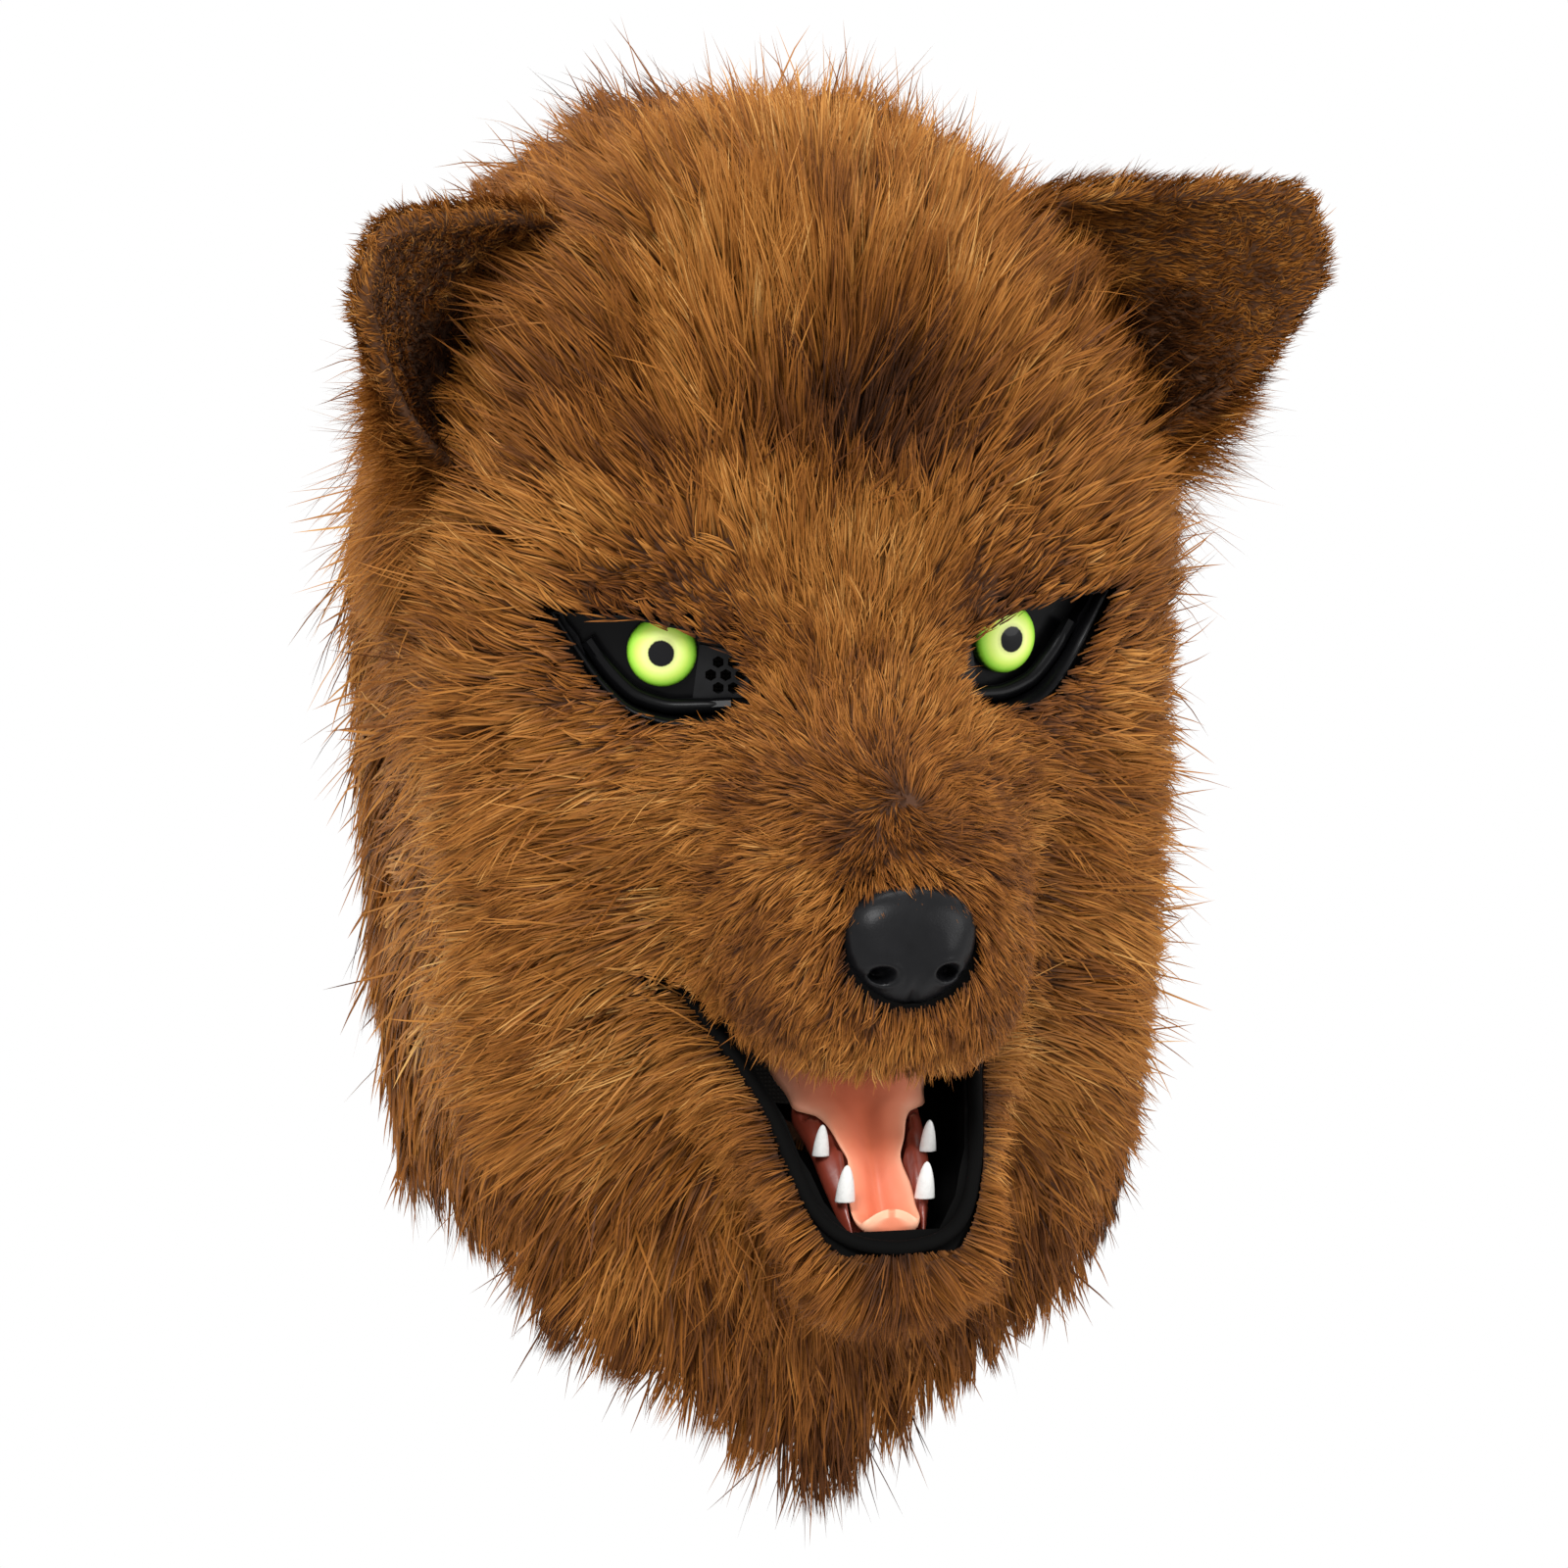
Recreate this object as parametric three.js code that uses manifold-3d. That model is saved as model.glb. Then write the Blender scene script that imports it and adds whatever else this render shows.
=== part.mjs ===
// A werewolf mask: a hollow hood with a wolf face, worn over the whole head.
// Millimetres. The face looks to -Y, +X is its left cheek side, +Z is up.
// The origin is the inside of the crown, where the mask rests on the head of its wearer.
import * as THREE from "three";
import { mergeVertices } from "three/addons/utils/BufferGeometryUtils.js";
import { LoftGeometry } from "three/addons/geometries/LoftGeometry.js";
import Module from "manifold-3d";

const wasm = await Module();
wasm.setup();

// Main sizes. The tables below are shares of these.
const HEAD_HALF = 94; // half the width of the head form, without its fur
const SNOUT_REACH = 178; // from the origin forward to the tip of the bare muzzle
const HEAD_DROP = 285; // from the crown down to the side hem
const BIB_DROP = 62; // how far the pointed front hem hangs below the side hem
const WALL = 3.5; // thickness of the backing and of the face shell
const GAP = 0.3; // clearance between mating pieces
const PILE = 14; // bulk of the long combed fur
const JAW_PILE = 6.5; // bulk of the short fur on the jaw
const LOCK_LENGTH = 36; // one lock of the long fur
const EYE_DIA = 20.3;
const EYE_DOME = 4.2; // rise of the clear dome over the edge of the eye
const EYE_OUT = 51; // from the middle of the face to the middle of the eye
const EYE_FRONT = 96; // from the origin forward to the middle of the eye
const EYE_DOWN = 118;
const EYE_TURN = 18; // degrees that each eye looks outward
const EYE_REACH = 28.2; // from the middle of the eye to the outer corner of its opening
const SOCKET_DEPTH = 13; // how far the eye surround goes into the shell
const LID_DIA = 4.6; // the rounded roll along the lower lid
const MESH_PITCH = 4.3; // from hole to hole in the see-through mesh
const MESH_THICK = 1;
const NOSE_WIDTH = 40.6;
const NOSE_HEIGHT = 35.5;
const NOSE_DEPTH = 17;
const NOSE_DOWN = 192;
const EAR_LENGTH = 97; // from the backing to the tip
const EAR_WIDTH = 76;
const EAR_PAD = 6; // thickness of the padded ear
const TONGUE_LENGTH = 62;
const TONGUE_WIDTH = 46;
const TONGUE_THICK = 2.4;
const TOOTH_HEIGHT = 11;
const TOOTH_DIA = 5.8;

// Head form from the tip of the snout to the back of the head. y is a share of SNOUT_REACH,
// half of HEAD_HALF, and top, low and wide, the height of the widest point, of HEAD_DROP.
const HEAD = [
  { y: -1.0, half: 0.064, top: -0.66, low: -0.716, wide: -0.688, roundTop: 2.0, roundLow: 2.0, pile: 0.34 },
  { y: -0.983, half: 0.181, top: -0.632, low: -0.758, wide: -0.695, roundTop: 2.1, roundLow: 2.1, pile: 0.36 },
  { y: -0.944, half: 0.277, top: -0.604, low: -0.786, wide: -0.698, roundTop: 2.1, roundLow: 2.2, pile: 0.4 },
  { y: -0.882, half: 0.34, top: -0.568, low: -0.804, wide: -0.698, roundTop: 2.2, roundLow: 2.2, pile: 0.44 },
  { y: -0.792, half: 0.383, top: -0.519, low: -0.811, wide: -0.684, roundTop: 2.2, roundLow: 2.2, pile: 0.46 },
  { y: -0.702, half: 0.426, top: -0.463, low: -0.818, wide: -0.649, roundTop: 2.1, roundLow: 2.1, pile: 0.48 },
  { y: -0.629, half: 0.479, top: -0.389, low: -0.832, wide: -0.589, roundTop: 2.1, roundLow: 2.1, pile: 0.52 },
  { y: -0.579, half: 0.564, top: -0.302, low: -0.875, wide: -0.526, roundTop: 2.1, roundLow: 2.1, pile: 0.58 },
  { y: -0.539, half: 0.67, top: -0.218, low: -0.94, wide: -0.491, roundTop: 2.2, roundLow: 2.3, pile: 0.66 },
  { y: -0.5, half: 0.787, top: -0.151, low: -1.04, wide: -0.477, roundTop: 2.3, roundLow: 2.5, pile: 0.78 },
  { y: -0.449, half: 0.894, top: -0.095, low: -1.15, wide: -0.47, roundTop: 2.3, roundLow: 2.8, pile: 0.9 },
  { y: -0.365, half: 0.968, top: -0.046, low: -1.27, wide: -0.463, roundTop: 2.3, roundLow: 3.0, pile: 1 },
  { y: -0.253, half: 0.989, top: -0.011, low: -1.326, wide: -0.456, roundTop: 2.3, roundLow: 2.8, pile: 1 },
  { y: -0.084, half: 1.0, top: 0.011, low: -1.347, wide: -0.456, roundTop: 2.3, roundLow: 2.6, pile: 1 },
  { y: 0.112, half: 1.0, top: 0.012, low: -1.347, wide: -0.456, roundTop: 2.3, roundLow: 2.6, pile: 1 },
  { y: 0.309, half: 0.947, top: -0.004, low: -1.333, wide: -0.456, roundTop: 2.3, roundLow: 2.6, pile: 1 },
  { y: 0.449, half: 0.83, top: -0.046, low: -1.281, wide: -0.449, roundTop: 2.3, roundLow: 2.6, pile: 1 },
  { y: 0.517, half: 0.723, top: -0.088, low: -1.14, wide: -0.421, roundTop: 2.2, roundLow: 2.4, pile: 1 },
  { y: 0.562, half: 0.596, top: -0.13, low: -0.877, wide: -0.396, roundTop: 2.1, roundLow: 2.2, pile: 1 },
  { y: 0.601, half: 0.383, top: -0.218, low: -0.579, wide: -0.375, roundTop: 2.0, roundLow: 2.0, pile: 1 },
  { y: 0.618, half: 0.128, top: -0.316, low: -0.428, wide: -0.368, roundTop: 2.0, roundLow: 2.0, pile: 1 },
];

// Lower jaw from the chin back to the neck. rim is the height of its edge.
const JAW = [
  { y: -0.944, half: 0.08, rim: -0.999, low: -1.014 },
  { y: -0.927, half: 0.18, rim: -0.99, low: -1.03 },
  { y: -0.899, half: 0.245, rim: -0.963, low: -1.036 },
  { y: -0.854, half: 0.298, rim: -0.914, low: -1.028 },
  { y: -0.787, half: 0.335, rim: -0.863, low: -1.0 },
  { y: -0.702, half: 0.378, rim: -0.826, low: -0.97 },
  { y: -0.618, half: 0.45, rim: -0.784, low: -0.94 },
  { y: -0.534, half: 0.53, rim: -0.74, low: -0.915 },
  { y: -0.461, half: 0.58, rim: -0.704, low: -0.895 },
];

// Edge of the upper lip from the corner of the mouth forward.
const LIP = [
  { y: -0.483, lip: -0.712 },
  { y: -0.669, lip: -0.767 },
  { y: -0.764, lip: -0.789 },
  { y: -0.893, lip: -0.8 },
  { y: -1.3, lip: -0.79 },
];
const MOUTH_HALF = 0.575; // half the width of the mouth cut, a share of HEAD_HALF

// Opening in the fur around an eye, seen from its front. Shares of EYE_REACH.
const EYE_OPENING = [
  { out: 1.0, up: 0.38 },
  { out: 0.66, up: 0.37 },
  { out: 0.34, up: 0.35 },
  { out: 0.0, up: 0.29 },
  { out: -0.33, up: 0.22 },
  { out: -0.56, up: 0.14 },
  { out: -0.81, up: -0.03 },
  { out: -0.92, up: -0.32 },
  { out: -0.73, up: -0.59 },
  { out: -0.53, up: -0.6 },
  { out: -0.15, up: -0.61 },
  { out: 0.23, up: -0.52 },
  { out: 0.54, up: -0.26 },
  { out: 0.78, up: 0.06 },
];
const LID_FIRST = 8; // the rows of EYE_OPENING that the lower lid follows
const LID_LAST = 13;

// Ear from the backing to the tip. along is a share of EAR_LENGTH, width of EAR_WIDTH,
// cup, the depth of the hollow, and lean, the shift toward its upper edge, of EAR_WIDTH.
const EAR = [
  { along: -0.1, width: 1.0, cup: 0.34, lean: -0.01 },
  { along: 0.15, width: 1.02, cup: 0.32, lean: -0.01 },
  { along: 0.36, width: 0.94, cup: 0.27, lean: 0.02 },
  { along: 0.56, width: 0.8, cup: 0.19, lean: 0.06 },
  { along: 0.74, width: 0.62, cup: 0.12, lean: 0.12 },
  { along: 0.88, width: 0.45, cup: 0.06, lean: 0.18 },
  { along: 0.97, width: 0.3, cup: 0.03, lean: 0.21 },
  { along: 1.0, width: 0.16, cup: 0.01, lean: 0.22 },
];
const EAR_ROOT = { x: 0.77, y: -0.26, z: -0.136 }; // shares of the three main sizes
const EAR_AIM = new THREE.Vector3(0.76, -0.66, 0.22).normalize();
const EAR_RISE = new THREE.Vector3(-0.28, 0, 0.96).normalize();

const NOSE = [
  { depth: 0.0, width: 0.74, height: 0.74, rise: -0.02 },
  { depth: 0.15, width: 0.94, height: 0.94, rise: -0.01 },
  { depth: 0.4, width: 1.0, height: 1.0, rise: 0 },
  { depth: 0.64, width: 0.94, height: 0.92, rise: 0.01 },
  { depth: 0.84, width: 0.76, height: 0.72, rise: 0.02 },
  { depth: 0.96, width: 0.46, height: 0.42, rise: 0.02 },
  { depth: 1.0, width: 0.2, height: 0.18, rise: 0.02 },
];
const NOSTRIL = { out: 0.23, down: 0.21, width: 0.19, height: 0.14, depth: 0.34 };

// Tongue from its root to the lip. back and down are shares of TONGUE_LENGTH from the front
// end of the tongue, width is a share of TONGUE_WIDTH, and hollow and curl of TONGUE_THICK.
const TONGUE = [
  { back: 0.98, down: -0.86, width: 0.98, hollow: 0.6, curl: -1.4 },
  { back: 0.8, down: -0.74, width: 1.04, hollow: 0.8, curl: -1.8 },
  { back: 0.62, down: -0.62, width: 0.98, hollow: 1.0, curl: -2.2 },
  { back: 0.47, down: -0.47, width: 0.78, hollow: 1.8, curl: -0.6 },
  { back: 0.34, down: -0.32, width: 0.5, hollow: 1.0, curl: 1.0 },
  { back: 0.22, down: -0.16, width: 0.4, hollow: 1.6, curl: 1.0 },
  { back: 0.1, down: -0.03, width: 0.38, hollow: 1.8, curl: 0.6 },
  { back: 0.02, down: 0.0, width: 0.36, hollow: 1.0, curl: 0.4 },
  { back: -0.03, down: -0.05, width: 0.24, hollow: 0.4, curl: 0.2 },
];
const TONGUE_FRONT = { y: -0.883, z: -0.972 }; // shares of SNOUT_REACH and HEAD_DROP

const GUM = [
  { y: -0.9, half: 0.06, top: -0.982 },
  { y: -0.88, half: 0.115, top: -0.966 },
  { y: -0.84, half: 0.155, top: -0.936 },
  { y: -0.79, half: 0.19, top: -0.9 },
  { y: -0.73, half: 0.205, top: -0.872 },
  { y: -0.66, half: 0.22, top: -0.852 },
];

const TEETH = [
  { name: "front_left", side: 1, x: 0.125, y: -0.85, z: -0.946, size: 1 },
  { name: "front_right", side: -1, x: 0.125, y: -0.85, z: -0.946, size: 1 },
  { name: "back_left", side: 1, x: 0.168, y: -0.785, z: -0.9056, size: 0.85 },
  { name: "back_right", side: -1, x: 0.168, y: -0.785, z: -0.9056, size: 0.85 },
];

// Where the rows of locks stand along the head form, as shares of SNOUT_REACH.
const LOCK_STATIONS = [
  -1.0, -0.95, -0.9, -0.84, -0.78, -0.71, -0.65, -0.6, -0.56, -0.52, -0.48, -0.44, -0.38, -0.3, -0.22, -0.13,
  -0.03, 0.07, 0.17, 0.27, 0.37, 0.45, 0.51, 0.56, 0.6, 0.618,
];
const LOCK_RING = 32; // locks and hollows round one section

const RING = 24; // points round one section of the head form
const HOLLOW_RING = 18; // and round its hollow
const SEAM_Y = -0.17; // where the face meets the hood, a share of SNOUT_REACH
const SEAM_Z = -0.9; // where the face meets the neck, a share of HEAD_DROP
const FAR = 4 * HEAD_DROP;
const CRUMB = 0.03; // edges shorter than this are closed up

// A closed mesh as a solid, turned to face outward.
function solidOf(geometry) {
  const copy = new THREE.BufferGeometry().copy(geometry);
  const bare = copy.index ? copy : mergeVertices(copy);
  bare.deleteAttribute("normal");
  bare.deleteAttribute("uv");
  const merged = mergeVertices(bare, 1e-4);
  const triVerts = new Uint32Array(merged.index.array);
  const vertProperties = new Float32Array(merged.attributes.position.array);
  const made = new wasm.Manifold(new wasm.Mesh({ numProp: 3, vertProperties, triVerts }));
  if (made.volume() >= 0) return made;
  for (let i = 0; i < triVerts.length; i += 3) {
    [triVerts[i + 1], triVerts[i + 2]] = [triVerts[i + 2], triVerts[i + 1]];
  }
  return new wasm.Manifold(new wasm.Mesh({ numProp: 3, vertProperties, triVerts }));
}

// The largest body of a solid, so that no crumb is left beside a cut.
function mainBody(solid) {
  return solid.decompose().reduce((a, b) => (a.volume() > b.volume() ? a : b));
}

function joined(solids) {
  return solids.reduce((a, b) => a.add(b));
}

function box(x0, x1, y0, y1, z0, z1) {
  const shape = new THREE.BoxGeometry(x1 - x0, y1 - y0, z1 - z0);
  shape.translate((x0 + x1) / 2, (y0 + y1) / 2, (z0 + z1) / 2);
  return solidOf(shape);
}

// A prism over points [a, b] that runs along X when they are [y, z], or along Y when [x, z].
function prism(points, along, from, to) {
  const shape = new THREE.Shape(points.map(([a, b]) => new THREE.Vector2(a, b)));
  const made = new THREE.ExtrudeGeometry(shape, { depth: to - from, bevelEnabled: false });
  const basis = new THREE.Matrix4();
  const [x, y, z] = [new THREE.Vector3(1, 0, 0), new THREE.Vector3(0, 1, 0), new THREE.Vector3(0, 0, 1)];
  if (along === "x") basis.makeBasis(y, z, x).setPosition(from, 0, 0);
  else basis.makeBasis(x, z, y).setPosition(0, from, 0);
  return solidOf(made.applyMatrix4(basis));
}

// Values between the rows of a table, with slopes that never overshoot a row.
function between(rows, key, column) {
  const last = rows.length - 1;
  const slope = (i) => (rows[i + 1][column] - rows[i][column]) / (rows[i + 1][key] - rows[i][key]);
  const tangent = (i) => {
    if (i === 0) return slope(0);
    if (i === last) return slope(last - 1);
    const [a, b] = [slope(i - 1), slope(i)];
    return a * b <= 0 ? 0 : (2 * a * b) / (a + b);
  };
  return (at) => {
    let i = 0;
    while (i < last - 1 && at > rows[i + 1][key]) i += 1;
    const h = rows[i + 1][key] - rows[i][key];
    const t = THREE.MathUtils.clamp((at - rows[i][key]) / h, 0, 1);
    const [a, b] = [rows[i][column], rows[i + 1][column]];
    const [ta, tb] = [tangent(i) * h, tangent(i + 1) * h];
    const [t2, t3] = [t * t, t * t * t];
    return (2 * t3 - 3 * t2 + 1) * a + (t3 - 2 * t2 + t) * ta + (3 * t2 - 2 * t3) * b + (t3 - t2) * tb;
  };
}

const headAt = Object.fromEntries(
  Object.keys(HEAD[0]).map((column) => [column, between(HEAD, "y", column)]),
);

// A point on the head form: y along it as a share of SNOUT_REACH, turn round it in radians.
function headPoint(y, turn) {
  const [c, s] = [Math.cos(turn), Math.sin(turn)];
  const power = 2 / (s >= 0 ? headAt.roundTop(y) : headAt.roundLow(y));
  const reach = s >= 0 ? headAt.top(y) - headAt.wide(y) : headAt.wide(y) - headAt.low(y);
  return new THREE.Vector3(
    headAt.half(y) * HEAD_HALF * Math.sign(c) * Math.abs(c) ** power,
    y * SNOUT_REACH,
    (headAt.wide(y) + reach * Math.sign(s) * Math.abs(s) ** power) * HEAD_DROP,
  );
}

// Each point of a grid moved off the surface by lift(row), and by comb(point, out, row, column).
function lifted(grid, lift, comb = () => new THREE.Vector3()) {
  const last = grid.length - 1;
  return grid.map((ring, i) =>
    ring.map((point, j) => {
      const n = ring.length;
      const [before, after] = [ring[(j + n - 1) % n], ring[(j + 1) % n]];
      const round = after.clone().sub(before);
      const along = grid[Math.min(i + 1, last)][j].clone().sub(grid[Math.max(i - 1, 0)][j]);
      const out = along.cross(round).normalize();
      if (i === 0) out.add(new THREE.Vector3(0, -1, 0)).normalize();
      if (i === last) out.add(new THREE.Vector3(0, 1, 0)).normalize();
      return point.clone().addScaledVector(out, lift(i)).add(comb(point, out, i, j));
    }),
  );
}

// A closed skin over sections. Each must run counterclockwise seen from the last one.
function loft(grid) {
  const facing = new THREE.Vector3();
  const onward = new THREE.Vector3();
  grid[0].forEach((point, j) => {
    facing.add(point.clone().sub(grid[0][0]).cross(grid[0][(j + 1) % grid[0].length].clone().sub(grid[0][0])));
    onward.add(grid[1][j]).sub(point);
  });
  const rings = facing.dot(onward) > 0 ? grid : grid.map((ring) => ring.toReversed());
  return solidOf(new LoftGeometry(rings, { closed: true, capStart: true, capEnd: true }));
}

// The head form as a solid with its surface moved out by lift(y).
function headForm(lift, ringPoints, comb, stations = HEAD.map(({ y }) => y)) {
  const grid = stations.map((y) =>
    Array.from({ length: ringPoints }, (_, j) => headPoint(y, ((j + 0.5) / ringPoints) * 2 * Math.PI)),
  );
  return loft(lifted(grid, (i) => lift(stations[i]), comb));
}

// The jaw is flat along its rim and round below it.
const jawAt = Object.fromEntries(
  Object.keys(JAW[0]).map((column) => [column, between(JAW, "y", column)]),
);

function jawPoint(y, turn) {
  const [c, s] = [Math.cos(turn), Math.sin(turn)];
  const [rim, low] = [jawAt.rim(y), jawAt.low(y)];
  const wide = rim - 0.1 * (rim - low);
  const power = 2 / (s >= 0 ? 6 : 2.4);
  const reach = s >= 0 ? rim - wide : wide - low;
  return new THREE.Vector3(
    jawAt.half(y) * HEAD_HALF * Math.sign(c) * Math.abs(c) ** power,
    y * SNOUT_REACH,
    (wide + reach * Math.sign(s) * Math.abs(s) ** power) * HEAD_DROP,
  );
}

const JAW_RING = 18;

function jawForm(lift, comb) {
  const grid = JAW.map(({ y }) =>
    Array.from({ length: JAW_RING }, (_, j) => jawPoint(y, ((j + 0.5) / JAW_RING) * 2 * Math.PI)),
  );
  return loft(lifted(grid, () => lift, comb));
}

// Side views of the mouth, as prisms across the face.
const lipLine = LIP.map(({ y, lip }) => [y * SNOUT_REACH, lip * HEAD_DROP]);
const rimLine = JAW.map(({ y, rim }) => [y * SNOUT_REACH, rim * HEAD_DROP]);
const corner = lipLine[0];
const ahead = -1.3 * SNOUT_REACH;
function mouthPrism(drop) {
  const floor = rimLine.filter(([y]) => y < corner[0] - 2).map(([y, z]) => [y, z - drop]);
  const side = MOUTH_HALF * HEAD_HALF;
  return prism([...lipLine, [ahead, floor[0][1]], ...floor], "x", -side, side);
}
const mouthWedge = mouthPrism(0);
const aboveRim = prism(
  [[ahead, 0], [ahead, rimLine[0][1]], ...rimLine, [0, rimLine.at(-1)[1]], [0, 0]],
  "x",
  -FAR,
  FAR,
);

// The hem is straight at the sides and back and hangs to a point in front.
const sideHem = -HEAD_DROP;
const hemCut = prism(
  [[-FAR, sideHem], [-HEAD_HALF, sideHem], [0, sideHem - BIB_DROP], [HEAD_HALF, sideHem], [FAR, sideHem],
    [FAR, -FAR], [-FAR, -FAR]],
  "y",
  -FAR,
  0,
).add(box(-FAR, FAR, -1, FAR, -FAR, sideHem));

// Local axes of each eye: x outward along the face, y up, z to the front.
const turned = THREE.MathUtils.degToRad(EYE_TURN);
function eyeBasis(side) {
  const out = new THREE.Vector3(side * Math.cos(turned), Math.sin(turned), 0);
  const front = new THREE.Vector3(side * Math.sin(turned), -Math.cos(turned), 0);
  const basis = new THREE.Matrix4().makeBasis(out, new THREE.Vector3(0, 0, 1), front);
  return basis.setPosition(side * EYE_OUT, -EYE_FRONT, -EYE_DOWN);
}

// The eye opening as an outline, grown by a distance all round.
function eyeOutline(grow, raise) {
  const curve = new THREE.CatmullRomCurve3(
    EYE_OPENING.map(({ out, up }) => new THREE.Vector3(out * EYE_REACH, up * EYE_REACH, 0)),
    true,
    "centripetal",
  );
  const points = curve.getSpacedPoints(26).slice(0, -1);
  return points.map((point, i) => {
    const before = points[(i + points.length - 1) % points.length];
    const after = points[(i + 1) % points.length];
    const along = after.clone().sub(before).normalize();
    const up = point.y > 0 ? raise : 0;
    return new THREE.Vector2(point.x + grow * along.y, point.y - grow * along.x + up);
  });
}

function eyePrism(outline, from, to) {
  const made = new THREE.ExtrudeGeometry(new THREE.Shape(outline), { depth: to - from, bevelEnabled: false });
  return made.translate(0, 0, from);
}

const BEZEL = 3; // width of the surround outside the opening in the fur
const BROW_ROOM = 3.2; // more of it above the eye
const RECESS = 3.2; // depth of the eye seat
const RIM_RISE = 1.6; // the rim of the surround stands this far proud

// Meshes and groups.
const COLOURS = {
  shell: ["#0b0b0c", 0.5],
  cloth: ["#16120f", 0.95],
  fur: ["#8a5523", 0.95],
  velour: ["#80501f", 0.95],
  gloss: ["#08080a", 0.18],
  iris: ["#b8e43a", 0.12],
  nose: ["#0c0c0e", 0.35],
  tongue: ["#d9785a", 0.45],
  gum: ["#6a2018", 0.5],
  tooth: ["#e8e6e2", 0.3],
};

function groupNamed(name, parent) {
  const group = new THREE.Group();
  group.name = name;
  parent.add(group);
  return group;
}

const mask = new THREE.Group();
mask.name = "werewolf_mask";
const head = groupNamed("head", mask);
const face = groupNamed("face", mask);
const mouth = groupNamed("mouth", mask);

// The corners and triangles of a solid, with the ends of each edge shorter than CRUMB made one.
function cleanMesh(solid) {
  const { numProp, vertProperties, triVerts } = solid.getMesh();
  const count = vertProperties.length / numProp;
  const positions = new Float32Array(count * 3);
  for (let i = 0; i < count; i += 1) {
    positions.set(vertProperties.subarray(i * numProp, i * numProp + 3), i * 3);
  }
  const corner = (i) => new THREE.Vector3().fromArray(positions, 3 * i);
  const owner = Array.from({ length: count }, (_, i) => i);
  const find = (i) => (owner[i] === i ? i : (owner[i] = find(owner[i])));
  for (let t = 0; t < triVerts.length; t += 3) {
    for (let k = 0; k < 3; k += 1) {
      const [a, b] = [find(triVerts[t + k]), find(triVerts[t + ((k + 1) % 3)])];
      if (a !== b && corner(a).distanceTo(corner(b)) < CRUMB) owner[Math.max(a, b)] = Math.min(a, b);
    }
  }
  const faces = new Map();
  for (let t = 0; t < triVerts.length; t += 3) {
    const face = [find(triVerts[t]), find(triVerts[t + 1]), find(triVerts[t + 2])];
    if (new Set(face).size < 3) continue;
    const key = face.toSorted((a, b) => a - b).join();
    if (faces.has(key)) faces.delete(key);
    else faces.set(key, face);
  }
  return { positions, triangles: [...faces.values()].flat() };
}

// Puts a solid in a group as a mesh whose own origin is the middle of its box.
function place(parent, name, solid, finish) {
  const first = cleanMesh(mainBody(solid));
  const geometryOf = ({ positions, triangles }) => {
    const made = new THREE.BufferGeometry();
    made.setAttribute("position", new THREE.BufferAttribute(positions, 3));
    made.setIndex(new THREE.BufferAttribute(new Uint32Array(triangles), 1));
    return made;
  };
  const { positions, triangles: triVerts } = cleanMesh(mainBody(solidOf(geometryOf(first))));
  const geometry = new THREE.BufferGeometry();
  geometry.setAttribute("position", new THREE.BufferAttribute(positions, 3));
  geometry.setIndex(new THREE.BufferAttribute(new Uint32Array(triVerts), 1));
  geometry.computeBoundingBox();
  const middle = geometry.boundingBox.getCenter(new THREE.Vector3()).round();
  geometry.translate(-middle.x, -middle.y, -middle.z);
  geometry.computeVertexNormals();
  const [color, roughness] = COLOURS[finish];
  const material = new THREE.MeshStandardMaterial({ color, roughness, metalness: 0 });
  material.name = finish;
  const mesh = new THREE.Mesh(geometry, material);
  mesh.name = name;
  mesh.position.copy(middle);
  parent.add(mesh);
}

// Nose: a rounded heart, broad on top, with two nostrils and a small cleft.
function noseSection(row, grow) {
  const points = [];
  for (let j = 0; j < 18; j += 1) {
    const turn = (j / 18) * 2 * Math.PI;
    const [c, s] = [Math.cos(turn), Math.sin(turn)];
    const taper = 0.9 + 0.17 * s;
    const x = (0.5 * NOSE_WIDTH * row.width * 1.06 + grow) * c * taper;
    const z = (0.5 * NOSE_HEIGHT * row.height + grow) * Math.sign(s) * Math.abs(s) ** 0.9;
    const y = -0.955 * SNOUT_REACH + grow * (1 - 2 * row.depth) - row.depth * NOSE_DEPTH;
    points.push(new THREE.Vector3(x, y, z + row.rise * NOSE_HEIGHT - NOSE_DOWN));
  }
  return points;
}
const noseBody = (grow) => loft(NOSE.map((row) => noseSection(row, grow)));
const noseFront = -0.955 * SNOUT_REACH - NOSE_DEPTH;
const nostrils = [-1, 1].map((side) => {
  const hole = new THREE.SphereGeometry(0.5, 12, 8);
  hole.scale(NOSTRIL.width * NOSE_WIDTH, NOSTRIL.depth * 2 * NOSE_DEPTH, NOSTRIL.height * NOSE_HEIGHT);
  hole.translate(
    side * NOSTRIL.out * NOSE_WIDTH,
    noseFront + 0.22 * NOSE_DEPTH,
    -NOSE_DOWN - NOSTRIL.down * NOSE_HEIGHT,
  );
  return solidOf(hole);
});
const cleft = new THREE.CylinderGeometry(0.04 * NOSE_WIDTH, 0.04 * NOSE_WIDTH, NOSE_DEPTH, 8);
cleft.translate(0, noseFront + 0.4 * NOSE_DEPTH, -NOSE_DOWN - 0.49 * NOSE_HEIGHT);
place(face, "nose", noseBody(0).subtract(joined(nostrils)).subtract(solidOf(cleft)), "nose");

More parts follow.
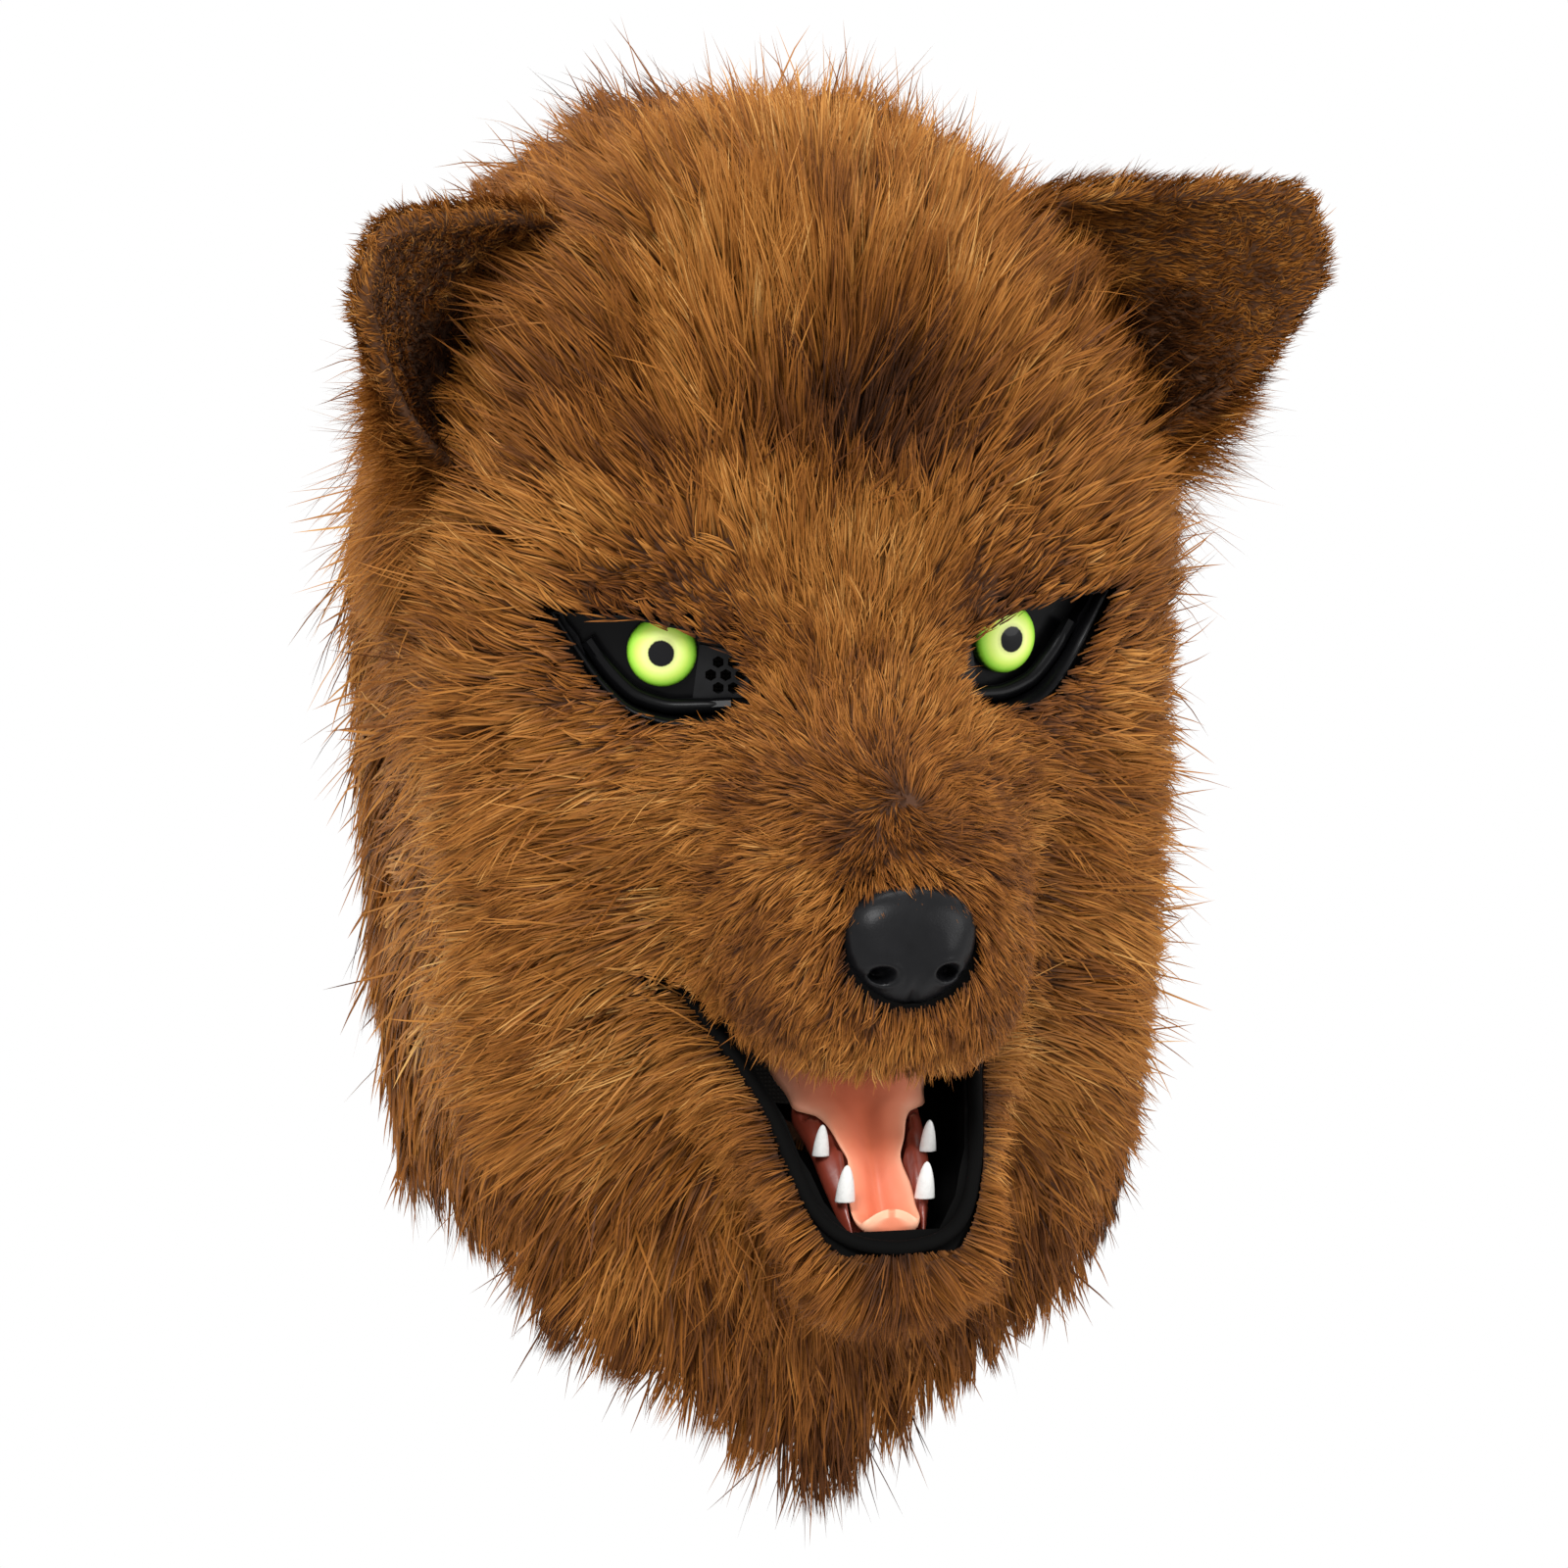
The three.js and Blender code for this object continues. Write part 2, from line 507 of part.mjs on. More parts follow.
// Ear: a padded leaf bent into a cup, each section an arc with a thickness.
function earSection(row, side, grow) {
  const steps = 9;
  const root = new THREE.Vector3(EAR_ROOT.x * HEAD_HALF, EAR_ROOT.y * SNOUT_REACH, EAR_ROOT.z * HEAD_DROP);
  const frontward = EAR_AIM.clone().cross(EAR_RISE);
  const half = 0.5 * EAR_WIDTH * row.width;
  const cup = EAR_WIDTH * row.cup;
  const middle = [];
  for (let k = 0; k <= steps; k += 1) {
    const t = ((2 * k) / steps - 1) * (Math.PI / 2);
    middle.push(new THREE.Vector2(half * Math.sin(t) + row.lean * EAR_WIDTH, -cup * Math.cos(t)));
  }
  const pad = 0.5 * EAR_PAD * Math.min(1, 0.35 + 2.2 * row.width) + grow;
  const sideOf = (sign) =>
    middle.map((point, k) => {
      const along = middle[Math.min(k + 1, steps)].clone().sub(middle[Math.max(k - 1, 0)]).normalize();
      const edge = 1 - 0.45 * (k === 0 || k === steps ? 1 : 0);
      const run = k === 0 ? -grow : k === steps ? grow : 0;
      return new THREE.Vector2(
        point.x - sign * along.y * pad * edge + along.x * run,
        point.y + sign * along.x * pad * edge + along.y * run,
      );
    });
  const outline = [...sideOf(1), ...sideOf(-1).reverse()];
  const reach = row.along * EAR_LENGTH + (row.along === 1 ? grow : 0);
  return outline.map(({ x: rise, y: front }) => {
    const point = root
      .clone()
      .addScaledVector(EAR_AIM, reach)
      .addScaledVector(EAR_RISE, rise)
      .addScaledVector(frontward, front);
    point.x *= side;
    return point;
  });
}
const earBody = (side, grow) => loft(EAR.map((row) => earSection(row, side, grow)));
const earsClear = earBody(1, GAP).add(earBody(-1, GAP));

const formOuter = headForm(() => WALL, RING);
const formInner = headForm(() => 0, HOLLOW_RING);
const formClear = headForm(() => WALL + GAP, RING);
for (const side of [1, -1]) {
  place(head, side > 0 ? "ear_left" : "ear_right", earBody(side, 0).subtract(formClear), "velour");
}

// Eyes: a domed disc, the surround that holds it, and mesh toward the nose.
const meshZone = (grow) => [
  new THREE.Vector2(-0.43 * EYE_REACH + grow, 0.02 * EYE_REACH + grow),
  new THREE.Vector2(-0.68 * EYE_REACH, -0.03 * EYE_REACH + grow),
  new THREE.Vector2(-0.84 * EYE_REACH - grow, -0.27 * EYE_REACH),
  new THREE.Vector2(-0.8 * EYE_REACH - grow, -0.42 * EYE_REACH - grow),
  new THREE.Vector2(-0.36 * EYE_REACH + grow, -0.43 * EYE_REACH - grow),
];
const lidPath = new THREE.CatmullRomCurve3(
  EYE_OPENING.slice(LID_FIRST, LID_LAST + 1).map(
    ({ out, up }) =>
      new THREE.Vector3(out * EYE_REACH * 0.97, up * EYE_REACH + 0.35 * LID_DIA, RIM_RISE - 0.2 * LID_DIA),
  ),
);
const lidRound = new THREE.Shape();
lidRound.absarc(0, 0, LID_DIA / 2, 0, 2 * Math.PI);
const lidRoll = () =>
  new THREE.ExtrudeGeometry(lidRound, { steps: 11, curveSegments: 4, extrudePath: lidPath });
const socketCuts = [];
for (const side of [1, -1]) {
  const basis = eyeBasis(side);
  const local = (geometry) => solidOf(geometry.applyMatrix4(basis));
  const hand = side > 0 ? "left" : "right";
  const whole = local(eyePrism(eyeOutline(BEZEL, BROW_ROOM), -SOCKET_DEPTH, RIM_RISE));
  const seat = local(eyePrism(eyeOutline(BEZEL - 1.4, BROW_ROOM), -RECESS, RIM_RISE + 9));
  const behind = local(eyePrism(eyeOutline(BEZEL - 1.6, BROW_ROOM), -SOCKET_DEPTH - 1, -RECESS - 2.4));
  const window = local(eyePrism(meshZone(0), -SOCKET_DEPTH - 1, 1));
  const discRadius = EYE_DIA / 2;
  const rise = Math.min(EYE_DOME, discRadius * 0.9);
  const profile = [new THREE.Vector2(0, GAP - RECESS), new THREE.Vector2(discRadius, GAP - RECESS)];
  for (let k = 0; k <= 5; k += 1) {
    const t = (k / 5) * (Math.PI / 2);
    profile.push(new THREE.Vector2(discRadius * Math.cos(t), -0.3 * RECESS + rise * Math.sin(t)));
  }
  profile[profile.length - 1].x = 0;
  const dome = new THREE.LatheGeometry(profile, 20).rotateX(Math.PI / 2);
  const discClear = new THREE.CylinderGeometry(discRadius + GAP, discRadius + GAP, 14, 20);
  discClear.rotateX(Math.PI / 2).translate(0, 0, 7 + GAP - RECESS);
  const discRoom = local(discClear);
  const surround = whole
    .subtract(seat)
    .subtract(behind)
    .subtract(window)
    .add(local(lidRoll()).subtract(discRoom));
  place(face, "eye_surround_" + hand, surround, "gloss");
  place(face, "eye_" + hand, local(dome), "iris");
  const holes = [];
  for (let row = 0; row < 5; row += 1) {
    for (let column = 0; column < 5; column += 1) {
      const x = -0.36 * EYE_REACH - (column + 0.5 * (row % 2)) * MESH_PITCH - 1.6;
      const y = -0.36 * EYE_REACH + row * MESH_PITCH * 0.87 - 0.4;
      const inside = x > -0.8 * EYE_REACH && x < -0.42 * EYE_REACH && y < 0.9 - 0.3 * row;
      if (!inside || (row === 3 && x < -0.74 * EYE_REACH)) continue;
      const hex = new THREE.CylinderGeometry(0.41 * MESH_PITCH, 0.41 * MESH_PITCH, 9, 6);
      holes.push(local(hex.rotateX(Math.PI / 2).translate(x, y, 0)));
    }
  }
  const plate = local(eyePrism(meshZone(1.4), GAP - RECESS, GAP - RECESS + MESH_THICK));
  const rollClear = new THREE.Shape();
  rollClear.absarc(0, 0, LID_DIA / 2 + GAP, 0, 2 * Math.PI);
  const rollRoom = new THREE.ExtrudeGeometry(rollClear, { steps: 11, curveSegments: 4, extrudePath: lidPath });
  const rimRoom = whole.subtract(local(eyePrism(eyeOutline(BEZEL - 1.4 - GAP, BROW_ROOM), -RECESS, 12)));
  const mesh = plate
    .subtract(joined(holes))
    .subtract(discRoom)
    .subtract(local(rollRoom))
    .subtract(rimRoom);
  place(face, "eye_mesh_" + hand, mesh, "shell");
  socketCuts.push({
    shell: local(eyePrism(eyeOutline(BEZEL + GAP, BROW_ROOM), -SOCKET_DEPTH - 9, 30)),
    rim: local(eyePrism(eyeOutline(BEZEL + GAP, BROW_ROOM), -SOCKET_DEPTH - 9, RIM_RISE + GAP)),
    fur: local(eyePrism(eyeOutline(0, 0), -SOCKET_DEPTH, 60)),
  });
}
const shellSockets = joined(socketCuts.map(({ shell }) => shell));
const furSockets = joined(socketCuts.flatMap(({ rim, fur }) => [rim, fur]));

// Jaw shell: a trough, open along its rim and open to the head behind.
function troughForm(inset) {
  const rings = JAW.slice(1).map(({ y, half, rim, low }) => {
    const inner = Math.max(half * HEAD_HALF - WALL, 2.5) - inset;
    const floor = low * HEAD_DROP + WALL + inset;
    const wide = rim * HEAD_DROP;
    const back = y === JAW.at(-1).y ? 8 : WALL + inset;
    return Array.from({ length: 18 }, (_, j) => {
      const turn = ((j + 0.5) / 18) * 2 * Math.PI;
      const [c, s] = [Math.cos(turn), Math.sin(turn)];
      const power = 2 / (s >= 0 ? 8 : 2.4);
      const reach = s >= 0 ? 30 : Math.max(wide - floor, 1);
      return new THREE.Vector3(
        inner * Math.sign(c) * Math.abs(c) ** power,
        y * SNOUT_REACH + back,
        wide + reach * Math.sign(s) * Math.abs(s) ** power,
      );
    });
  });
  return loft(rings);
}
const jawCavity = troughForm(0);
const jawOuter = jawForm(0);
const jawClear = jawForm(GAP);
place(mouth, "jaw_shell", jawOuter.subtract(jawCavity), "shell");

// Gum: fills the bottom of the trough and carries the teeth.
const gumBody = (grow) =>
  loft(
    GUM.map(({ y, half, top }, i) =>
      Array.from({ length: 10 }, (_, j) => {
        const turn = (j / 10) * 2 * Math.PI;
        const [c, s] = [Math.cos(turn), Math.sin(turn)];
        const middle = top * HEAD_DROP - 15;
        return new THREE.Vector3(
          half * HEAD_HALF * Math.sign(c) * Math.abs(c) ** 0.7 + grow,
          y * SNOUT_REACH + (i === 0 ? -grow : 0),
          middle + 15 * Math.sign(s) * Math.abs(s) ** 0.7,
        );
      }),
    ),
  );

// Tongue: a thin sheet with a hollow down the middle and rolling edges.
const tongueStations = Array.from({ length: 13 }, (_, i) => i / 12);
const tongueRows = TONGUE.map((row, i) => ({ ...row, at: i / (TONGUE.length - 1) }));
const tongueAt = Object.fromEntries(
  Object.keys(TONGUE[0]).map((column) => [column, between(tongueRows, "at", column)]),
);
function tongueBody(grow) {
  const rings = tongueStations.map((at, i) => {
    const half = 0.5 * TONGUE_WIDTH * tongueAt.width(at) + grow;
    const end = i === 0 ? grow : i === 12 ? -grow : 0;
    const y = TONGUE_FRONT.y * SNOUT_REACH + tongueAt.back(at) * TONGUE_LENGTH + end;
    const z = TONGUE_FRONT.z * HEAD_DROP - tongueAt.down(at) * TONGUE_LENGTH;
    const across = Array.from({ length: 7 }, (_, k) => (k / 6) * 2 - 1);
    const surface = (u) =>
      z -
      tongueAt.hollow(at) * TONGUE_THICK * Math.exp(-9 * u * u) +
      tongueAt.curl(at) * TONGUE_THICK * u ** 4;
    const [over, under] = [0.3, -0.7].map((share) => share * TONGUE_THICK + Math.sign(share) * grow);
    return [
      ...across.map((u) => new THREE.Vector3(u * half, y, surface(u) + over)),
      ...across.toReversed().map((u) => new THREE.Vector3(u * half, y, surface(u) + under)),
    ];
  });
  return loft(rings);
}
place(mouth, "tongue", tongueBody(0), "tongue");

function toothBody({ side, x, y, z, size }, grow) {
  const [r, h] = [(size * TOOTH_DIA) / 2 + grow, size * TOOTH_HEIGHT + grow];
  const profile = [[0, -grow], [r, -grow], [r * 0.96, 0.3 * h], [r * 0.68, 0.7 * h], [r * 0.3, 0.96 * h], [0, h]];
  const cone = new THREE.LatheGeometry(profile.map(([a, b]) => new THREE.Vector2(a, b)), 8);
  cone.rotateX(Math.PI / 2).rotateX(0.25);
  return solidOf(cone.translate(side * x * HEAD_HALF, y * SNOUT_REACH, z * HEAD_DROP));
}
const teethClear = joined(TEETH.map((tooth) => toothBody(tooth, GAP)));
const gum = gumBody(0)
  .intersect(troughForm(GAP))
  .subtract(joined([0, 2, 4, 6, 8].map((rise) => tongueBody(1.7 * GAP).translate([0, 0, rise]))))
  .subtract(teethClear);
place(mouth, "gum", gum, "gum");
for (const tooth of TEETH) place(mouth, "tooth_" + tooth.name, toothBody(tooth, 0), "tooth");

// Backing and face shell.
const seamY = SEAM_Y * SNOUT_REACH;
const seamZ = SEAM_Z * HEAD_DROP;
const faceZone = (grow) => box(-FAR, FAR, -FAR, seamY + grow, seamZ - grow, FAR);
const wall = formOuter.subtract(formInner).subtract(hemCut);
const noseClear = noseBody(GAP);
place(
  head,
  "hood_backing",
  wall.subtract(faceZone(GAP)).subtract(jawClear).subtract(mouthWedge),
  "cloth",
);
place(
  face,
  "face_shell",
  wall
    .intersect(faceZone(0))
    .subtract(mouthWedge)
    .subtract(jawClear)
    .subtract(shellSockets)
    .subtract(noseClear),
  "shell",
);

// The way the fur is combed at a point: outward and back, up on the crown, down on the neck.
function combed(point) {
  const side = THREE.MathUtils.clamp(point.x / (0.3 * HEAD_HALF), -1, 1);
  const crown = THREE.MathUtils.smoothstep(point.z, -0.42 * HEAD_DROP, -0.1 * HEAD_DROP);
  const neck = 1 - THREE.MathUtils.smoothstep(point.z, -0.95 * HEAD_DROP, -0.6 * HEAD_DROP);
  const rear = THREE.MathUtils.smoothstep(point.y, 0.1 * SNOUT_REACH, 0.5 * SNOUT_REACH);
  return new THREE.Vector3(
    side * (0.8 - 0.5 * neck),
    0.8 - 0.6 * neck,
    -0.35 + 1.2 * crown * (1 - rear) - 1.3 * neck - 1.0 * rear,
  );
}

// A repeatable number from 0 to 1 for each lock.
const chance = (seed) => THREE.MathUtils.euclideanModulo(Math.sin(seed * 12.9898) * 43758.5453, 1);

const eyeMiddles = [1, -1].map((side) => new THREE.Vector3(side * EYE_OUT, -EYE_FRONT, -EYE_DOWN));
const pileAt = (y) => WALL + PILE * headAt.pile(y);

// Every second point of every second row is the tip of a lock, pulled out and along the comb.
function tuft(size, seed, combAt) {
  return (point, out, i, j) => {
    if (i % 2 === 0 || (j + (i - 1) / 2) % 2) return new THREE.Vector3();
    const eye = Math.min(...eyeMiddles.map((middle) => middle.distanceTo(point)));
    const calm = THREE.MathUtils.smoothstep(eye, EYE_REACH, 1.7 * EYE_REACH);
    const length = calm * size(i) * LOCK_LENGTH * (0.7 + 0.6 * chance(seed + 61 * i + j));
    const comb = combAt(point);
    const along = comb.addScaledVector(out, -comb.dot(out)).normalize();
    return along.multiplyScalar(0.8 * length).addScaledVector(out, 0.34 * length);
  };
}
const headTufts = tuft(
  (i) => (i === 0 || i === LOCK_STATIONS.length - 1 ? 0 : headAt.pile(LOCK_STATIONS[i])),
  5,
  combed,
);
const backward = new THREE.Vector3(0, 1, 0.15);
const jawTufts = tuft((i) => (i === 0 ? 0 : (0.8 * JAW_PILE) / PILE), 400, () => backward.clone());

// The fur hangs past the hem in points. across is "x" for front and back and "y" for the sides.
function hemPoints(across, low) {
  const points = [];
  for (let k = -10; k <= 10; k += 1) {
    const at = k * 0.11 * HEAD_HALF;
    const hang = (k % 2 ? 0.25 : 1) * (0.75 + 0.4 * chance(90 + k)) * 0.7 * LOCK_LENGTH;
    points.push([at, low(at) - hang]);
  }
  const [start, end] = [points[0][1], points.at(-1)[1]];
  return [[-FAR, start], ...points, [FAR, end], [FAR, -FAR], [-FAR, -FAR]];
}
const frontHem = (x) => sideHem - BIB_DROP * Math.max(0, 1 - Math.abs(x) / HEAD_HALF);
const middleBand = 0.66 * HEAD_HALF;
const furHemCut = prism(hemPoints("x", frontHem), "y", -FAR, 0)
  .add(prism(hemPoints("x", () => sideHem), "y", -1, FAR))
  .intersect(box(-middleBand, middleBand, -FAR, FAR, -FAR, 0))
  .add(
    prism(hemPoints("y", () => sideHem - 0.2 * BIB_DROP), "x", -FAR, FAR)
      .subtract(box(-middleBand, middleBand, -FAR, FAR, -FAR, 0)),
  );

const pelt = headForm(pileAt, LOCK_RING, headTufts, LOCK_STATIONS).subtract(furHemCut).subtract(formClear);
const jawPelt = jawForm(JAW_PILE, jawTufts);
const slack = 1.6 * GAP;
const jawFurClear = joined(
  [[1, 0, 0], [-1, 0, 0], [0, 1, 0], [0, -1, 0], [0, 0, 1], [0, 0, -1]].map((way) =>
    jawPelt.translate(way.map((share) => share * slack)),
  ),
);
const jawFur = jawPelt.subtract(aboveRim).subtract(jawClear).subtract(formClear);
place(mouth, "fur_jaw", jawFur, "fur");
const faceFur = pelt
  .intersect(faceZone(-GAP))
  .subtract(mouthPrism(2 * JAW_PILE))
  .subtract(jawFurClear)
  .subtract(furSockets)
  .subtract(noseClear)
  .subtract(earsClear);
place(face, "fur_face", faceFur, "fur");
const bibZone = box(-FAR, FAR, -FAR, seamY - GAP, -FAR, seamZ - GAP);
place(head, "fur_bib", pelt.intersect(bibZone).subtract(jawFurClear), "fur");
const hoodZone = box(-FAR, FAR, seamY + GAP, FAR, -FAR, FAR);
place(head, "fur_hood", pelt.intersect(hoodZone).subtract(earsClear), "fur");

export default mask;
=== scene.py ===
# %% [markdown]
# # A wolf mask in deep pile fur
# The real mask is a hood sewn from fur cloth, with a wolf face on a thin moulded shell.
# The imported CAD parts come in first. They fix every place and size, and the pieces made
# below are dressed onto them in the same frame, in metres.

# %% Load the frame
import math

import bpy
import numpy as np
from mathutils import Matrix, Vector


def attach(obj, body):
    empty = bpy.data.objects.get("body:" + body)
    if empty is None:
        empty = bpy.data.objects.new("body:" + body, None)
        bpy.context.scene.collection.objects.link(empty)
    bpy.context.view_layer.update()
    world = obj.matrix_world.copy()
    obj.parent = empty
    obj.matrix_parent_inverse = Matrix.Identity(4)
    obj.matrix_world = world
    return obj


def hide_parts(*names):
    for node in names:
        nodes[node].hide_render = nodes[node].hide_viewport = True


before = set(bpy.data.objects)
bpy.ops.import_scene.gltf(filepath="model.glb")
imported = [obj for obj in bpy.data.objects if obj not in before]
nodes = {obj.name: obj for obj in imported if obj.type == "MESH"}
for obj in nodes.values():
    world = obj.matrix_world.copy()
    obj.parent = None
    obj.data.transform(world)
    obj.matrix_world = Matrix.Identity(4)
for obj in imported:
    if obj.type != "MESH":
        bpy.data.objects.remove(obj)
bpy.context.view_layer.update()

rng = np.random.default_rng(11)
print("CAD nodes:", len(nodes))

# %% [markdown]
# ## Sizes
# The tables are worked in millimetres and turned into metres only when a mesh is made.
# Each head row is one cross section, given as shares of three main sizes. Blender could loft
# curves through them, but a formula can be asked for any point and its normal, and every
# strand of fur needs both.

# %% Sizes and tables
MM = 0.001
HEAD_HALF, SNOUT_REACH, HEAD_DROP, BIB_DROP = 94.0, 178.0, 285.0, 62.0
WALL, PILE, JAW_PILE = 3.5, 14.0, 6.5
HEAD_COLUMNS = ("y", "half", "top", "low", "wide", "round_top", "round_low", "pile")
HEAD_ROWS = (
    (-1.0, 0.064, -0.66, -0.716, -0.688, 2.0, 2.0, 0.34),
    (-0.983, 0.181, -0.632, -0.758, -0.695, 2.1, 2.1, 0.36),
    (-0.944, 0.277, -0.604, -0.786, -0.698, 2.1, 2.2, 0.4),
    (-0.882, 0.34, -0.568, -0.804, -0.698, 2.2, 2.2, 0.44),
    (-0.792, 0.383, -0.519, -0.811, -0.684, 2.2, 2.2, 0.46),
    (-0.702, 0.426, -0.463, -0.818, -0.649, 2.1, 2.1, 0.48),
    (-0.629, 0.479, -0.389, -0.832, -0.589, 2.1, 2.1, 0.52),
    (-0.579, 0.564, -0.302, -0.875, -0.526, 2.1, 2.1, 0.58),
    (-0.539, 0.67, -0.218, -0.94, -0.491, 2.2, 2.3, 0.66),
    (-0.5, 0.787, -0.151, -1.04, -0.477, 2.3, 2.5, 0.78),
    (-0.449, 0.894, -0.095, -1.15, -0.47, 2.3, 2.8, 0.9),
    (-0.365, 0.968, -0.046, -1.27, -0.463, 2.3, 3.0, 1.0),
    (-0.253, 0.989, -0.011, -1.326, -0.456, 2.3, 2.8, 1.0),
    (-0.084, 1.0, 0.011, -1.347, -0.456, 2.3, 2.6, 1.0),
    (0.112, 1.0, 0.012, -1.347, -0.456, 2.3, 2.6, 1.0),
    (0.309, 0.947, -0.004, -1.333, -0.456, 2.3, 2.6, 1.0),
    (0.449, 0.83, -0.046, -1.281, -0.449, 2.3, 2.6, 1.0),
    (0.517, 0.723, -0.088, -1.14, -0.421, 2.2, 2.4, 1.0),
    (0.562, 0.596, -0.13, -0.877, -0.396, 2.1, 2.2, 1.0),
    (0.601, 0.383, -0.218, -0.579, -0.375, 2.0, 2.0, 1.0),
    (0.618, 0.128, -0.316, -0.428, -0.368, 2.0, 2.0, 1.0),
    (0.623, 0.006, -0.365, -0.371, -0.368, 2.0, 2.0, 1.0),
)
JAW_COLUMNS = ("y", "half", "rim", "low")
JAW_ROWS = (
    (-0.944, 0.08, -0.999, -1.014),
    (-0.927, 0.18, -0.99, -1.03),
    (-0.899, 0.245, -0.963, -1.036),
    (-0.854, 0.298, -0.914, -1.028),
    (-0.787, 0.335, -0.863, -1.0),
    (-0.702, 0.378, -0.826, -0.97),
    (-0.618, 0.45, -0.784, -0.94),
    (-0.534, 0.53, -0.74, -0.915),
    (-0.461, 0.58, -0.704, -0.895),
)
LIP_ROWS = ((-1.3, -0.79), (-0.893, -0.8), (-0.764, -0.789), (-0.669, -0.767), (-0.483, -0.712))
JAW_FRONT, MOUTH_BACK = JAW_ROWS[0][0], LIP_ROWS[-1][0]
SIDES = (("left", 1), ("right", -1))


def between(keys, values):
    """A curve through table rows: cubic, with slopes that never overshoot, level past its ends."""
    keys, values = np.asarray(keys, float), np.asarray(values, float)
    slope = np.diff(values) / np.diff(keys)
    a, b = slope[:-1], slope[1:]
    shared = np.where(a * b > 0, 2 * a * b / (a + b + 1e-12), 0)
    tangent = np.concatenate([slope[:1], shared, slope[-1:]])

    def at(x):
        i = np.clip(np.searchsorted(keys, x) - 1, 0, len(keys) - 2)
        h = keys[i + 1] - keys[i]
        t = np.clip((x - keys[i]) / h, 0, 1)
        t2, t3 = t * t, t * t * t
        return (
            (2 * t3 - 3 * t2 + 1) * values[i]
            + (t3 - 2 * t2 + t) * h * tangent[i]
            + (3 * t2 - 2 * t3) * values[i + 1]
            + (t3 - t2) * h * tangent[i + 1]
        )

    return at


def table(columns, rows):
    """One curve for each column of a table, over its first column."""
    data = np.array(rows)
    return {name: between(data[:, 0], data[:, k]) for k, name in enumerate(columns) if k}


head_at = table(HEAD_COLUMNS, HEAD_ROWS)
jaw_at = table(JAW_COLUMNS, JAW_ROWS)
lip_at = between(*np.array(LIP_ROWS).T)
print("head rows:", len(HEAD_ROWS), "jaw rows:", len(JAW_ROWS))

# %% [markdown]
# ## Small tools
# A smooth step, a unit vector and a smooth ripple shape every piece. The ripple could come
# from a noise texture, but sines need no lookup and work on whole arrays of points at once.

# %% Small tools
def step(x, low, high):
    """0 below low and 1 above high, with a smooth rise between them."""
    t = np.clip((x - low) / (high - low), 0, 1)
    return t * t * (3 - 2 * t)


def unit(v):
    return v / np.maximum(np.linalg.norm(v, axis=-1, keepdims=True), 1e-9)


def signed_power(x, power):
    return np.sign(x) * np.abs(x) ** power


def ripple(points, scale, seed):
    """Smooth noise from -1 to 1: the mean of seven sine waves that run in random directions."""
    waves = np.random.default_rng(seed)
    ways = unit(waves.normal(size=(7, 3))) * (2 * math.pi / scale) * waves.uniform(0.7, 1.5, (7, 1))
    phases = waves.uniform(0, 2 * math.pi, 7)
    return np.sin(points @ ways.T + phases).sum(-1) / 3.2


sample = np.array([[0.0, 0.0, 0.0], [8.0, 0.0, 0.0]])
print("ripple at two places:", ripple(sample, 26, 4).round(2))

# %% [markdown]
# ## Meshes from points
# Every new piece is a grid of points, joined into faces. Blender could loft between curves,
# but numpy keeps the order of the points plain. Meshes are filled with `foreach_set`, which
# hands Blender whole arrays at once.

# %% Meshes from points
def grid_quads(rows, columns, joined=False):
    """Quads between neighbouring points of a grid, also from its last column to its first."""
    i = np.arange(rows - 1)[:, None]
    j = np.arange(columns if joined else columns - 1)[None, :]
    k = (j + 1) % columns
    corners = (i * columns + j, i * columns + k, (i + 1) * columns + k, (i + 1) * columns + j)
    return np.stack(corners, -1).reshape(-1, 4)


def closed_skin(grid):
    """A grid whose columns close on themselves, shut at both ends by a fan to the middle point."""
    rows, columns = grid.shape[:2]
    points = np.concatenate([grid.reshape(-1, 3), grid[:1].mean(1), grid[-1:].mean(1)])
    j = np.arange(columns)
    k = (j + 1) % columns
    first, last = np.full(columns, rows * columns), np.full(columns, rows * columns + 1)
    base = (rows - 1) * columns
    fans = np.concatenate([np.stack([first, k, j], -1), np.stack([last, base + j, base + k], -1)])
    return points, grid_quads(rows, columns, True), fans


def signed_volume(points, quads, fans):
    """Six times the volume inside, negative if the faces look inwards."""
    tris = np.concatenate([quads[:, [0, 1, 2]], quads[:, [0, 2, 3]], fans])
    a, b, c = points[tris].transpose(1, 0, 2)
    return (a * np.cross(b, c)).sum()


def around(columns):
    """The turn angle of each column of a ring, with its cosine and sine."""
    turn = np.linspace(0, 2 * math.pi, columns, endpoint=False)[None, :]
    return np.cos(turn), np.sin(turn)


def mesh_piece(name, points, quads, fans, material, uv=None, replaces=()):
    """Makes one piece from points in millimetres, hangs it under the root, and hides the CAD parts
    that it replaces.
    """
    mesh = bpy.data.meshes.new(name)
    mesh.vertices.add(len(points))
    mesh.vertices.foreach_set("co", (points * MM).astype(np.float32).ravel())
    loops = np.concatenate([quads.ravel(), fans.ravel()]).astype(np.int32)
    starts = np.concatenate([np.arange(len(quads)) * 4, len(quads) * 4 + np.arange(len(fans)) * 3])
    mesh.loops.add(len(loops))
    mesh.loops.foreach_set("vertex_index", loops)
    mesh.polygons.add(len(quads) + len(fans))
    mesh.polygons.foreach_set("loop_start", starts.astype(np.int32))
    if uv is not None:
        layer = mesh.uv_layers.new(name="strand")
        layer.uv.foreach_set("vector", uv[loops].astype(np.float32).ravel())
    mesh.update(calc_edges=True)
    mesh.shade_smooth()
    mesh.materials.append(material)
    piece = bpy.data.objects.new(name, mesh)
    bpy.context.scene.collection.objects.link(piece)
    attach(piece, "root")
    if replaces:
        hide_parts(*replaces)
    print(f"{name}: {len(quads) * 2 + len(fans)} triangles")
    return piece


